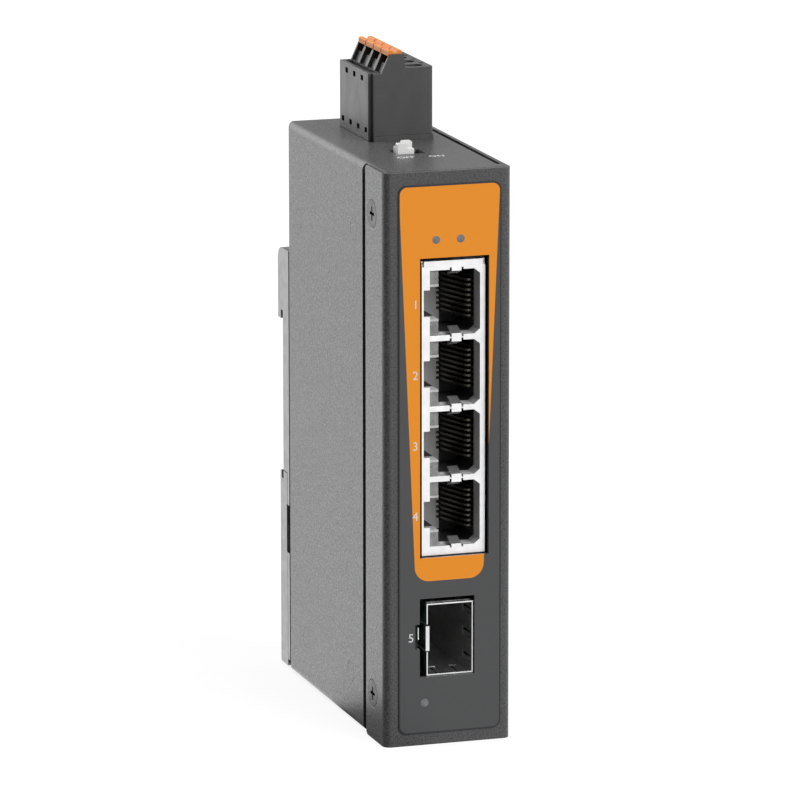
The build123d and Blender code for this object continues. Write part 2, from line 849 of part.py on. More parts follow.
def module_cage():
    """The folded cage for the plug-in module, with lanced springs, legs and a latch tab."""
    outer = block((cage_floor, cage_right), (cage_front, cage_back), (cage_bottom, cage_top))
    inner = block(
        (cage_floor + cage_wall, cage_right - cage_wall),
        (cage_front - sheet, cage_back - cage_wall),
        (cage_bottom + cage_wall, cage_top - cage_wall),
    )
    cage = outer - inner
    slot_y = (cage_front + lance_start, cage_front + lance_start + lance_length)
    half = lance_height / 2
    finger_y = (slot_y[0], slot_y[1] - lance_height)
    third = (cage_top - cage_bottom) / 3

    # Three slots in the far wall and two in each narrow wall, each with its spring finger.
    for n in (-1, 0, 1):
        z = cage_middle + n * third
        cage -= block((cage_right - 2 * cage_wall, cage_right + sheet), slot_y, (z - half, z + half))
        finger = (
            (cage_right, finger_y[0]),
            (cage_right - lance_bend, finger_y[1]),
            (cage_right - lance_bend - cage_wall, finger_y[1]),
            (cage_right - cage_wall, finger_y[0] - cage_wall),
            (cage_right, finger_y[0] - cage_wall),
        )
        cage += outline_z(finger, (z - half / 2, z + half / 2))
    width = cage_right - cage_floor
    for share in lance_shares:
        x = cage_floor + share * width
        for face, side in ((cage_bottom, 1), (cage_top, -1)):
            slot_z = sorted((face - side * sheet, face + side * 2 * cage_wall))
            cage -= block((x - half, x + half), slot_y, slot_z)
            finger = (
                (finger_y[0] - cage_wall, face),
                (finger_y[0], face),
                (finger_y[1], face + side * lance_bend),
                (finger_y[1], face + side * (lance_bend + cage_wall)),
                (finger_y[0] - cage_wall, face + side * cage_wall),
            )
            cage += outline_x(finger, (x - half / 2, x + half / 2))

    # An opening in the floor for the connector, and the latch tab between two slits.
    cage -= block(
        (cage_floor - sheet, cage_floor + 2 * cage_wall),
        (connector_front - sheet, cage_back - 2 * cage_wall),
        (cage_middle - connector_half_width - sheet / 2, cage_middle + connector_half_width + sheet / 2),
    )
    tab_back = cage_front + latch_tab_length
    for low in (latch_tab_low - tab_slot, latch_tab_high):
        cage -= block(
            (cage_floor - sheet, cage_floor + 2 * cage_wall),
            (cage_front - sheet, tab_back),
            (low, low + tab_slot),
        )
    cage += block(
        (cage_floor - cage_wall, cage_floor - cage_wall + latch_tab_lip),
        (cage_front - cage_wall, cage_front + cage_wall),
        (latch_tab_low, latch_tab_high),
    )
    tooth = (
        (cage_floor + cage_wall, tab_back / 2),
        (cage_floor + cage_wall, tab_back / 2 + cage_leg),
        (cage_floor - cage_wall, tab_back / 2 + cage_leg),
    )
    cage -= outline_z(tooth, (cage_middle - cage_leg, cage_middle + cage_leg))
    for y in cage_leg_places:
        for low in (cage_bottom, cage_top - cage_wall):
            cage += block((board_face, cage_floor + cage_wall), (y, y + cage_leg), (low, low + cage_wall))
    return cage


def cage_collar():
    """The spring collar round the cage's mouth, with fingers that press on the front plate."""
    collar_y = (collar_start, collar_start + collar_width)
    outer = block(
        (cage_floor + cage_wall, cage_right + collar_thickness),
        collar_y,
        (cage_bottom - collar_thickness, cage_top + collar_thickness),
    )
    collar = outer - block((cage_floor, cage_right), (0, body_depth), (cage_bottom, cage_top))
    half = collar_finger / 2
    start, end = collar_y
    peak = (start + end) / 2
    for share in collar_shares:
        x = cage_floor + share * (cage_right - cage_floor)
        for face, side in ((cage_top, 1), (cage_bottom, -1)):
            points = (
                (start, face + side * collar_thickness),
                (peak, face + side * (collar_bulge + collar_thickness)),
                (end, face + side * collar_thickness),
                (end - collar_thickness, face + side * collar_thickness / 2),
                (peak, face + side * collar_bulge),
                (start + collar_thickness, face + side * collar_thickness / 2),
            )
            collar += outline_x(points, (x - half, x + half))
    return collar


def module_connector():
    """The connector at the back of the cage, with a slot for the module's card edge."""
    body = block(
        (board_face, connector_top),
        (connector_front, connector_back),
        (cage_middle - connector_half_width, cage_middle + connector_half_width),
    )
    body = chamfer(body.edges().group_by(Axis.X)[-1], sheet / 2)
    slot = block(
        connector_slot,
        (connector_front - sheet, connector_front + connector_slot_depth),
        (cage_middle - connector_slot_half_width, cage_middle + connector_slot_half_width),
    )
    return body - slot


# Lamps


def lamp_pipe():
    """The clear block that carries light from two lamps on the board to the front."""
    block_y = (lamp_block_front, lamp_block_front + lamp_block_depth)
    block_z = (lamp_height - lamp_block_half_width, lamp_height + lamp_block_half_width)
    right = lamp_places[-1] + lamp_hole
    pipe = block((board_face + lamp_block_lift, right), block_y, block_z)
    pipe = chamfer(pipe.edges().filter_by(Axis.Z).group_by(Axis.Y)[-1].sort_by(Axis.X)[-1:], 1.5 * sheet)
    foot_x = (board_face, board_face + 2 * lamp_block_lift)
    for low in (block_z[0], block_z[1] - lamp_block_lift / 2):
        pipe += block(foot_x, block_y, (low, low + lamp_block_lift / 2))
    for x in lamp_places:
        pipe += rod_y(lamp_radius, x, lamp_height, (sheet, lamp_block_front + sheet))
    return pipe


def chip_lamps():
    """Two lamps on the board under the light pipe, and one at the board's front edge."""
    height, depth, width = chip_lamp
    middle = lamp_block_front + lamp_block_depth / 2
    spots = ((middle - 2 * depth, lamp_height), (middle + depth, lamp_height), (board_front, low_lamp[1]))
    lamp_x = (board_face, board_face + height)
    return joined(block(lamp_x, (y, y + depth), (z - width / 2, z + width / 2)) for y, z in spots)


# Power terminal


def corner_notch(z):
    """The upright notch in the left front corner of the header and the plug."""
    notch_x = (header_left - sheet, header_left + corner_notch_x)
    return block(notch_x, (header_front - sheet, header_front + corner_notch_y), z)


def terminal_header():
    """The shrouded header on the board, open at the top."""
    body = block((header_left, header_right), (header_front, header_back), (header_bottom, header_top))
    body -= block(
        (header_left + header_wall, header_right - header_right_wall),
        (header_front + header_end_wall, header_back - header_end_wall),
        (header_bottom_inside, header_top + sheet),
    )
    body -= corner_notch((header_bottom - sheet, header_top + sheet))
    half = pin_size / 2 + screw_gap
    bore_z = (header_bottom - sheet, header_top)
    for y in pole_places:
        body -= block((pin_x - half, pin_x + half), (y - half, y + half), bore_z)
    foot_x = (board_face, header_left + sheet / 2)
    foot_length = header_foot[1] - header_foot[0]
    for start in (header_foot[0], header_back - (header_foot[0] - header_front) - foot_length):
        body += block(foot_x, (start, start + foot_length), (header_bottom, board_top))
    return body


def header_pins():
    """Right-angled pins from the board up into the header."""
    half = pin_size / 2
    tail_z = (pin_height - half, pin_height + half)
    pins = []
    for y in pole_places:
        pin_y = (y - half, y + half)
        upright = block((pin_x - half, pin_x + half), pin_y, (tail_z[0], header_top - pin_tip))
        upright = chamfer(upright.edges().group_by(Axis.Z)[-1], half / 2)
        tail = block((board_back - pin_tail, pin_x), pin_y, tail_z)
        pins.append(upright + tail)
    return joined(pins)


def terminal_plug():
    """The plug: an insert in the header, and a body with a hump for levers and a ledge for wires."""
    profile = (
        (header_left, plug_base),
        (header_left, shoulder_top),
        (hump_foot, shoulder_top),
        (hump_left, hump_top),
        (hump_right, hump_top),
        (hump_root, ledge_top),
        (header_right, ledge_top),
        (header_right, plug_base),
    )
    body = outline_y(profile, (header_front, header_back))
    body = fillet(body.edges().filter_by(Axis.Z).group_by(Axis.X)[-1], plug_corner)
    body -= corner_notch((plug_base - sheet, shoulder_top + sheet))
    body += block((plug_left, plug_right), (plug_front, plug_back), (plug_bottom, plug_base))

    # The trough behind the left wall, from end wall to end wall.
    trough_wall = trough_left - header_left
    body -= block(
        (trough_left, hump_foot),
        (header_front + corner_notch_y + trough_wall, header_back - rib_width),
        (shoulder_top - trough_depth, shoulder_top + sheet),
    )
    slope = (hump_left - hump_foot) / (hump_top - shoulder_top)
    half_slot = (pole_pitch - rib_width) / 2
    for y in pole_places:
        slot = (
            (hump_foot - sheet, shoulder_top - rib_sink),
            (hump_foot + rib_recess, shoulder_top - rib_sink),
            (hump_left + rib_recess + slope * sheet, hump_top + sheet),
            (hump_foot - sheet, hump_top + sheet),
        )
        body -= outline_y(slot, (y - half_slot, y + half_slot))
        lever_z = (hump_top - lever_sink - lever_travel - 2 * lever_gap, hump_top + sheet)
        lever_y = (y - channel_half_width, y + channel_half_width)
        body -= block((lever_left - lever_gap, stem_channel_right), lever_y, lever_z)
        stem = lever_stem_half_width + lever_gap
        stem_z = (chamber_top - sheet, hump_top)
        body -= block((stem_channel_left, stem_channel_right), (y - stem, y + stem), stem_z)
        chamber = (chamber_half_width, plug_base + plug_end_wall)
        socket = (socket_half_width, plug_bottom - sheet)
        for half, low in (chamber, socket):
            body -= block((chamber_left, chamber_right), (y - half, y + half), (low, chamber_top))
        entry = plane_z(chamber_top - sheet) * Pos((entry_left + entry_right) / 2, y)
        entry_height = ledge_top - chamber_top + 2 * sheet
        body -= extrude(entry * SlotOverall(entry_right - entry_left, entry_width), entry_height)
        low = (plug_base + test_hole_low, y + test_hole_shift)
        high = (header_top + test_hole_high, y + pole_pitch / 2 + test_hole_shift)
        for height, middle in (low, high):
            if middle < header_back - rib_width:
                body -= block(
                    (header_left - sheet, header_left + test_hole_depth),
                    (middle - test_hole[0] / 2, middle + test_hole[0] / 2),
                    (height - test_hole[1] / 2, height + test_hole[1] / 2),
                )
    for y in pole_places[:-1]:
        body -= rod_z(probe_radius, probe_x, y + pole_pitch / 2, (ledge_top - sheet, ledge_top + sheet))
    return body


def release_lever(y):
    """One lever: a head with a groove for a screwdriver, and a stem down to its clamp."""
    foot = chamber_top - lever_gap
    base = hump_top - lever_sink
    top = base + lever_head
    groove_width, groove_depth = lever_groove
    middle = (lever_left + lever_right) / 2
    profile = (
        (lever_stem_left, foot),
        (lever_right, foot),
        (lever_right, top - sheet / 4),
        (lever_right - sheet / 4, top),
        (middle + groove_width / 2, top),
        (middle + groove_width / 4, top - groove_depth),
        (middle - groove_width / 4, top - groove_depth),
        (middle - groove_width / 2, top),
        (lever_left + sheet / 4, top),
        (lever_left, top - sheet / 4),
        (lever_left, base),
        (lever_stem_left, base),
    )
    lever = outline_y(profile, (y - lever_half_width, y + lever_half_width))
    trim = lever_half_width - lever_stem_half_width
    for side in (-1, 1):
        edge = y + side * lever_half_width
        trim_y = sorted((edge, edge - side * trim))
        lever -= block((lever_stem_left - sheet, lever_right + sheet), trim_y, (foot - sheet, base))
    return lever


def clamp_contact(y):
    """One copper contact: a square socket on the pin, a bar over it and an upright wire plate."""
    socket_half = pin_size / 2 + plug_gap + clamp_wall
    socket_z = (plug_bottom + sheet, header_top - pin_tip + plug_gap)
    plate_y = (y - socket_half, y + socket_half)
    bar_z = (socket_z[1], socket_z[1] + clamp_bar)
    right = chamber_right - plug_gap
    contact = block((pin_x - socket_half, pin_x + socket_half), plate_y, socket_z)
    contact += block((chamber_left + plug_gap, right), plate_y, bar_z)
    contact += block((right - clamp_bar, right), plate_y, (bar_z[0], chamber_top - sheet))
    bore = pin_size / 2 + plug_gap
    return contact - block(
        (pin_x - bore, pin_x + bore), (y - bore, y + bore), (socket_z[0] - sheet, socket_z[1] + plug_gap),
    )


def clamp_contacts():
    """The four contacts of the plug."""
    return joined(clamp_contact(y) for y in pole_places)


def clamp_spring(y):
    """One bent leaf that stands on the contact's bar and presses the wire against its plate."""
    base = header_top - pin_tip + plug_gap + clamp_bar + screw_gap
    top = chamber_top - 3 * lever_gap
    left = chamber_left + 2 * plug_gap
    knee = lever_stem_left + sheet
    tip_x = chamber_right - clamp_bar - 3 * plug_gap
    tip_z = base + (top - base) * spring_tip_share
    leaf = spring_leaf
    points = (
        (left, base),
        (left, top - sheet),
        (left + sheet, top),
        (knee, top),
        (tip_x, tip_z),
        (tip_x - leaf, tip_z - leaf / 2),
        (knee - leaf / 2, top - leaf),
        (left + sheet + leaf / 2, top - leaf),
        (left + leaf, top - sheet - leaf / 2),
        (left + leaf, base + leaf),
        (left + 3 * sheet, base + leaf),
        (left + 3 * sheet, base),
    )
    half = socket_half_width - 2 * plug_gap
    return outline_y(points, (y - half, y + half))


# Setting selector


def selector_body():
    """The black selector body on the board, with one slot for each lever."""
    body = block(
        (board_face, selector_body_right),
        (selector_places[0] - selector_margin - sheet, selector_places[-1] + selector_margin + sheet),
        (selector_body_bottom, selector_body_top),
    )
    body = chamfer(body.edges().group_by(Axis.Z)[-1], sheet / 4)
    slot_x = (selector_left - selector_gap, selector_right + selector_gap)
    for y in selector_places:
        slot_y = (y - selector_half_width - selector_gap / 2, y + selector_half_width + selector_gap / 2)
        body -= block(slot_x, slot_y, (selector_floor, body_height))
    return body


def selector_slider(y, shift, tall_first):
    """One stepped white slider, moved along its slot by shift, with its tall part first or last."""
    left = selector_left + shift
    right = left + selector_length
    base = selector_floor + selector_gap
    slider_y = (y - selector_half_width, y + selector_half_width)
    tall_x = (left, left + selector_tall)
    if not tall_first:
        tall_x = (right - selector_tall, right)
    slider = block((left, right), slider_y, (base, body_height + selector_step_rise))
    slider += block(tall_x, slider_y, (base, body_height + selector_rise))
    return chamfer(slider.edges().filter_by(Axis.Y).group_by(Axis.Z)[-1], sheet / 4)


# Rail bracket


def rail_bracket():
    """The folded bracket: a back plate, two cheeks, and a hook over the rail's upper edge."""
    plate = block((cheek_left, cheek_right), (body_depth, bracket_back), (bracket_bottom, bracket_top))
    nose_low = rail_top - bracket_nose
    nose_front = seat_face + rail_sheet + bracket_nose_gap
    hook_profile = (
        (body_depth, latch_top + latch_gap),
        (seat_face, latch_top + latch_gap),
        (seat_face, rail_top),
        (nose_front, rail_top),
        (nose_front, nose_low),
        (hook_face, nose_low),
        (hook_face, bracket_top),
        (body_depth, bracket_top),
    )
    solid = outline_x(hook_profile, (cheek_left, cheek_right))
    top_edges = solid.edges().filter_by(Axis.X).group_by(Axis.Z)[-1]
    solid = fillet(top_edges.sort_by(Axis.Y)[-1:], bracket_bend)
    hollow = block(
        (cheek_left + bracket_sheet, cheek_right - bracket_sheet),
        (bracket_back, hook_face - bracket_sheet),
        (bracket_bottom, bracket_top - bracket_sheet),
    )
    top_edges = hollow.edges().filter_by(Axis.X).group_by(Axis.Z)[-1]
    hollow = fillet(top_edges.sort_by(Axis.Y)[-1:], bracket_bend - bracket_sheet)
    bracket = plate + (solid - hollow)

    # A tab that carries the latch spring, and side slots that a tool can reach.
    middle = body_width / 2
    bracket += block(
        (middle - spring_tab_width / 2, middle + spring_tab_width / 2),
        (bracket_back - lap_gap, latch_face - latch_web - latch_gap),
        (spring_tab_height - bracket_sheet, spring_tab_height),
    )
    slot_z = (bracket_slot_low, bracket_slot_high)
    through = (body_depth - sheet, bracket_back + sheet)
    bracket -= block((-sheet, cheek_left + bracket_slot_width), through, slot_z)
    bracket -= block((cheek_right - bracket_slot_width, body_width + sheet), through, slot_z)
    for x, z in bracket_screw_places:
        bracket -= rod_y(bracket_screw_radius + screw_gap, x, z, through)
    for x, z in guide_pin_places:
        bracket -= rod_y(guide_pin_radius + screw_gap, x, z, through)
    return bracket


def rail_latch():
    """The sliding latch: a channel open to the front, with a nose under the rail's lower edge."""
    web_front = latch_face - latch_web
    side_profile = (
        (latch_front, latch_bottom),
        (latch_face, latch_bottom),
        (latch_face, latch_top),
        (web_front, latch_top),
        (web_front, rail_bottom),
        (seat_face, rail_bottom),
        (seat_face, latch_top),
        (latch_front, latch_top),
    )
    solid = outline_x(side_profile, (cheek_left, cheek_right))
    corners = solid.edges().filter_by(Axis.X).group_by(Axis.Y)[-1]
    solid = fillet(corners, latch_corner)
    hollow = block(
        (cheek_left + bracket_sheet, cheek_right - bracket_sheet),
        (latch_front - sheet, web_front),
        (latch_bottom - sheet, latch_top + sheet),
    )
    latch = solid - hollow

    # The shelf that the spring pushes up.
    middle = body_width / 2
    latch += block(
        (middle - latch_shelf_width / 2, middle + latch_shelf_width / 2),
        (latch_front, web_front + latch_web / 2),
        (latch_shelf, latch_shelf + bracket_sheet),
    )
    through = (web_front - sheet, latch_face + sheet)
    radius = guide_pin_radius + guide_pin_gap
    for x, z in guide_pin_places:
        latch -= block((x - radius, x + radius), through, (z, z + latch_travel))
        for end in (z, z + latch_travel):
            latch -= rod_y(radius, x, end, through)
    latch -= block(
        (middle - latch_slot_size_x / 2, middle + latch_slot_size_x / 2),
        through,
        (latch_slot_height, latch_slot_height + latch_slot_size_z),
    )
    notch_y = (latch_front - sheet, latch_front + 2 * latch_gap)
    left_side = (-sheet, cheek_left + 2 * bracket_sheet)
    right_side = (cheek_right - 2 * bracket_sheet, body_width + sheet)
    for side in (left_side, right_side):
        latch -= block(side, notch_y, (bracket_slot_low, bracket_slot_high))
    return latch


def latch_spring():
    """The coil spring between the bracket's tab and the latch's shelf."""
    length = latch_shelf - spring_tab_height - 2 * spring_wire
    middle_y = (bracket_back + latch_face - latch_web) / 2
    rise = length / spring_turns
    path = Helix(pitch=rise, height=length, radius=spring_radius)
    section = Plane(origin=path @ 0, z_dir=path % 0) * Rectangle(spring_wire, spring_wire)
    coil = sweep(section, path=path, is_frenet=True)
    return Pos(*place(body_width / 2, middle_y, spring_tab_height + spring_wire)) * coil


def guide_pins():
    """Headed pins, fixed in the back of the case, on which the latch slides."""
    pins = []
    head_y = (latch_face + lap_gap, latch_face + lap_gap + guide_pin_head_height)
    for x, z in guide_pin_places:
        pin = rod_y(guide_pin_radius, x, z, (body_depth - 2 * sheet, head_y[1]))
        head = rod_y(guide_pin_head, x, z, head_y)
        head = chamfer(head.edges().group_by(Axis.Y)[-1], guide_pin_head_height / 2)
        pins.append(pin + head)
    return joined(pins)


def bracket_screws():
    """Pan-head screws that hold the bracket to the back of the case."""
    screws = []
    head_top = bracket_back + bracket_screw_head_height
    for x, z in bracket_screw_places:
        head = rod_y(bracket_screw_head, x, z, (bracket_back, head_top))
        head = chamfer(head.edges().group_by(Axis.Y)[-1], bracket_screw_head_height / 2)
        shank = rod_y(bracket_screw_radius, x, z, (bracket_back - bracket_screw_length, bracket_back))
        recess = block(
            (x - cross_length / 2, x + cross_length / 2),
            (head_top - cross_depth, head_top + sheet),
            (z - cross_width / 2, z + cross_width / 2),
        )
        screws.append(head + shank - recess - recess.rotate(Axis(place(x, 0, z), (0, 1, 0)), 90))
    return joined(screws)


# Parts on the board


def board_part(spot, size, height):
    """A cuboid part on the board, centred at (y, z)."""
    y, z = spot
    return block(
        (board_face, board_face + height),
        (y - size[0] / 2, y + size[0] / 2),
        (z - size[1] / 2, z + size[1] / 2),
    )


def from_top(spot):
    """A (y, z) place whose height is given as a distance below the top."""
    return (spot[0], body_height - spot[1])


def switch_chip():
    """The switching chip, with cut corners and a round mark at its first pin."""
    middle_y, middle_z = from_top(chip_place)
    chip = board_part((middle_y, middle_z), (chip_size, chip_size), chip_height)
    chip = chamfer(chip.edges().filter_by(Axis.X), chip_corner)
    y = middle_y - chip_size / 2 + 3 * chip_mark
    z = middle_z + chip_size / 2 - 3 * chip_mark
    mark_x = (board_face + chip_height - chip_mark_depth, board_face + 2 * chip_height)
    return chip - rod_x(chip_mark, y, z, mark_x)


def transformers():
    """One isolating transformer behind each port."""
    middle = transformer_front + transformer_size[0] / 2
    solids = [board_part((middle, z), transformer_size, transformer_height) for z in port_heights]
    return joined(chamfer(solid.edges().group_by(Axis.X)[-1], sheet / 2) for solid in solids)


def crystal():
    """The clock crystal in its metal can."""
    can = board_part(from_top(crystal_place), crystal_size, crystal_height)
    return fillet(can.edges().filter_by(Axis.X), crystal_height / 2)


def power_coil():
    """The coil of the power converter: a square shielded core with a round well."""
    y, z = from_top(coil_place)
    core = board_part((y, z), (coil_size, coil_size), coil_height)
    core = chamfer(core.edges().filter_by(Axis.X), 2 * sheet)
    well = (board_face + coil_height - sheet, board_face + 2 * coil_height)
    return core - (rod_x(coil_core, y, z, well) - rod_x(coil_core - sheet, y, z, well))


def power_cans():
    """Two capacitors that stand on the board, each with a rolled bead near its foot."""
    cans = []
    for y, z in map(from_top, can_places):
        can = rod_x(can_radius, y, z, (board_face, board_face + can_height))
        can = chamfer(can.edges().group_by(Axis.X)[-1], sheet / 2)
        bead_x = (board_face + 2 * sheet, board_face + 2 * sheet + 2 * can_bead)
        ring = rod_x(can_radius + sheet, y, z, bead_x) - rod_x(can_radius - can_bead, y, z, bead_x)
        cans.append(can - ring)
    return joined(cans)


def input_diodes():
    """Two diodes, one for each power input."""
    solids = [board_part(from_top(spot), diode_size, diode_height) for spot in diode_places]
    return joined(chamfer(solid.edges().group_by(Axis.X)[-1], sheet / 2) for solid in solids)


pieces = {
    "body_shell": body_shell(),
    "front_cover": front_cover(),
    "front_foil": front_foil(),
    "cover_screws": cover_screws(),
    "circuit_board": board(),
    "board_standoffs": board_standoffs(),
    "board_screws": board_screws(),
    "jack_shield": jack_shield(),
    "jack_frame": jack_frame(),
    "jack_housing": jack_housing(),
    "jack_carriers": jack_carriers(),
    "jack_contacts": jack_contacts(),
    "jack_light_pipes": jack_light_pipes(),
    "module_cage": module_cage(),
    "cage_collar": cage_collar(),
    "module_connector": module_connector(),
    "lamp_pipe": lamp_pipe(),
    "chip_lamps": chip_lamps(),
    "terminal_header": terminal_header(),
    "header_pins": header_pins(),
    "terminal_plug": terminal_plug(),
    "clamp_contacts": clamp_contacts(),
    "selector_body": selector_body(),
    "selector_slider_1": selector_slider(selector_places[0], 0, True),
    "selector_slider_2": selector_slider(selector_places[1], selector_2_shift, False),
    "rail_bracket": rail_bracket(),
    "rail_latch": rail_latch(),
    "latch_spring": latch_spring(),
    "guide_pins": guide_pins(),
    "bracket_screws": bracket_screws(),
    "switch_chip": switch_chip(),
    "transformers": transformers(),
    "crystal": crystal(),
    "power_coil": power_coil(),
    "power_cans": power_cans(),
    "input_diodes": input_diodes(),
    "input_fuse": board_part(fuse_spot, fuse_size, fuse_height),
    "module_driver": board_part(driver_spot, driver_size, driver_height),
}
for number, middle in enumerate(pole_places, start=1):
    pieces[f"release_lever_{number}"] = release_lever(middle)
    pieces[f"clamp_spring_{number}"] = clamp_spring(middle)

os.makedirs("parts", exist_ok=True)
for name, piece in pieces.items():
    export_step(piece, f"parts/{name}.step")
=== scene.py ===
"""The looks of a rail-mounted network switch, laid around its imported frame.

The frame holds every solid at its real size and place. Here each of them gets its finish, the
front foil gets its print, and a pale studio is set up round the whole.
All lengths are metres, in the frame's own axes: +X right, +Y back, +Z up.
"""

import math

import bpy
import numpy as np
from mathutils import Matrix, Quaternion, Vector


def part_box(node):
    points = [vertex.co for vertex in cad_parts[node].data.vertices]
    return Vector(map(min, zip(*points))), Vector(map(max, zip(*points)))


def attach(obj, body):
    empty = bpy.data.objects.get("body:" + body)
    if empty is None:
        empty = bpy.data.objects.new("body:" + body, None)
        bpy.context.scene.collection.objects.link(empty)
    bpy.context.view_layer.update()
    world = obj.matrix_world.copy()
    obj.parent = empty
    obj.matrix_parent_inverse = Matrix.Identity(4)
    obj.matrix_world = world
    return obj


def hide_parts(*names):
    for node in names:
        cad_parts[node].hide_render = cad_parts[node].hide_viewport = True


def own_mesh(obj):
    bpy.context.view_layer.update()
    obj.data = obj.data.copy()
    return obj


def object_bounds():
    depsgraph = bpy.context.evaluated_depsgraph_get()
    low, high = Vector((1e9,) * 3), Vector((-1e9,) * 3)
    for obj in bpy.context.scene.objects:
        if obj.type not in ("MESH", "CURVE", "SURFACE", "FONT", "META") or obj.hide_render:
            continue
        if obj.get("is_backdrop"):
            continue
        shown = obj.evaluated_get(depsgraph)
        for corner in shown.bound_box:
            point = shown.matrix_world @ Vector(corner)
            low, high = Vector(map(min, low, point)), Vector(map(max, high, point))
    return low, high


bl_info = {
    "name": "Rail-mounted network switch",
    "version": (1, 0, 0),
    "blender": (4, 5, 0),
    "location": "3D View > Sidebar > Switch",
    "description": "Finishes, prints and studio of a narrow rail-mounted network switch",
    "category": "Object",
}

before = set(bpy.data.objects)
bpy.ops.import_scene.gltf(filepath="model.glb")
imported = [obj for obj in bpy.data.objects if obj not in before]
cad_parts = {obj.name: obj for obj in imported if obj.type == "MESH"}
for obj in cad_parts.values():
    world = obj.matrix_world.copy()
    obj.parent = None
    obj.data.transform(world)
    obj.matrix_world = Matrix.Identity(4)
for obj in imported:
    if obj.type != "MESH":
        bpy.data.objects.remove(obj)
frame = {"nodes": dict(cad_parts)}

MM = 0.001

# A capital letter's height as a share of the font's size, and how the page turns to a surface.
CAPITAL_SHARE = 0.73
UPRIGHT = Matrix.Rotation(math.radians(90.0), 3, "X")
FLAT = Matrix.Identity(3)

# The port digits with the x and z of their middles on the foil, the selector's words with the x and
# y of theirs on top, and the x and z of the lamp windows.
PORT_DIGITS = (
    ("1", -6.65 * MM, 88.0 * MM),
    ("2", -6.7 * MM, 74.0 * MM),
    ("3", -6.7 * MM, 60.0 * MM),
    ("4", -6.7 * MM, 46.0 * MM),
    ("5", -7.6 * MM, 21.7 * MM),
)
SELECTOR_WORDS = (("OFF", -3.2 * MM, -15.6 * MM), ("ON", 3.0 * MM, -15.9 * MM))
LAMP_PLACES = ((-2.46 * MM, 100.6 * MM), (2.52 * MM, 100.6 * MM), (-4.79 * MM, 8.6 * MM))

# The values between which most of a noise lies, and how far the lines of a metal sheet are drawn out:
# upwards, backwards or across on a rolled one, and upwards on a drawn can.
NOISE_SPAN = (0.3, 0.7)
ROLLED_UP, ROLLED_BACK, ROLLED_ACROSS = (1.0, 1.0, 12.0), (1.0, 12.0, 1.0), (12.0, 1.0, 1.0)
DRAWN_UP = (1.0, 1.0, 10.0)

# The poles of the power terminal, each with its lever and its clamp spring.
POLES = (1, 2, 3, 4)

# A clamp spring's foot and knee as shares of its reach, its tip's height as a share of its rise,
# the length of each bend in half thicknesses, and the turns of the latch's coil.
FOOT_SHARE, KNEE_SHARE, TIP_SHARE = 0.33, 0.4, 0.35
LEAF_BEND = 3.0
COIL_TURNS = 8.5

# Lobes of the room's light: azimuth in degrees from the back towards the right, the shares of that
# direction where the lobe starts and where it is full, and its level. A flag stands at the front
# left, a bright wall at the back left and a dim one at the back right.
ROOM_LOBES = ((228.0, 0.6, 0.95, 0.08), (-32.0, 0.6, 0.95, 1.8), (24.0, 0.7, 0.98, 0.5))

# The lights: the direction each comes from and its spread in degrees.
STUDIO_LIGHTS = (
    ("key", (0.42, -0.72, 0.56), 45.0),
    ("top", (-0.1, 0.1, 0.98), 60.0),
    ("rim", (-0.45, 0.75, 0.5), 60.0),
)

# The floor's half width and its distance below the object, and how much its matt part is raised to
# make up for lights that fall on it at a slant.
FLOOR_HALF = 12.0
FLOOR_GAP = 0.05 * MM
MATT_GAIN = 1.3

# The width in millimetres that the focal length belongs to, and the distances the camera sees.
PICTURE_WIDTH = 36.0
NEAR, FAR = 0.05, 60.0


# Sizes and colours


def colour(name, description, default):
    """A colour that a user may change, as linear red, green and blue."""
    return bpy.props.FloatVectorProperty(
        name=name, description=description, subtype="COLOR", size=3, min=0.0, max=1.0, default=default
    )


def length(name, description, default):
    """A length that a user may change, in metres."""
    return bpy.props.FloatProperty(
        name=name, description=description, unit="LENGTH", precision=5, min=0.0, default=default
    )


def share(name, description, default):
    """A share from nought to one."""
    return bpy.props.FloatProperty(
        name=name, description=description, subtype="FACTOR", min=0.0, max=1.0, default=default
    )


def spot(name, description, default):
    """A place in the frame, in metres."""
    return bpy.props.FloatVectorProperty(
        name=name,
        description=description,
        subtype="TRANSLATION",
        unit="LENGTH",
        size=3,
        precision=5,
        default=default,
    )


def level(name, description, default):
    """The strength of a light, without an upper limit."""
    return bpy.props.FloatProperty(name=name, description=description, min=0.0, default=default)


class CaseLooks(bpy.types.PropertyGroup):
    """The powder coat of the case and the plating of its screws."""

    paint: colour("Paint", "Colour of the powder coat", (0.062, 0.062, 0.064))
    roughness: share("Roughness", "Roughness of the powder coat", 0.37)
    grain: length("Grain", "Width of one grain of the coat", 0.34 * MM)
    grain_depth: length("Grain depth", "Height of one grain of the coat", 0.045 * MM)
    ripple: length("Ripple", "Width of the slow waves left by the baked coat", 2.4 * MM)
    ripple_depth: length("Ripple depth", "Height of the slow waves", 0.002 * MM)
    mottle: share("Mottle", "Share by which a grain is darker or lighter than the coat", 0.38)
    edge: length("Edge", "Radius of the paint over a sheared edge", 0.16 * MM)
    screw: colour("Screws", "Black zinc plating", (0.06, 0.06, 0.063))


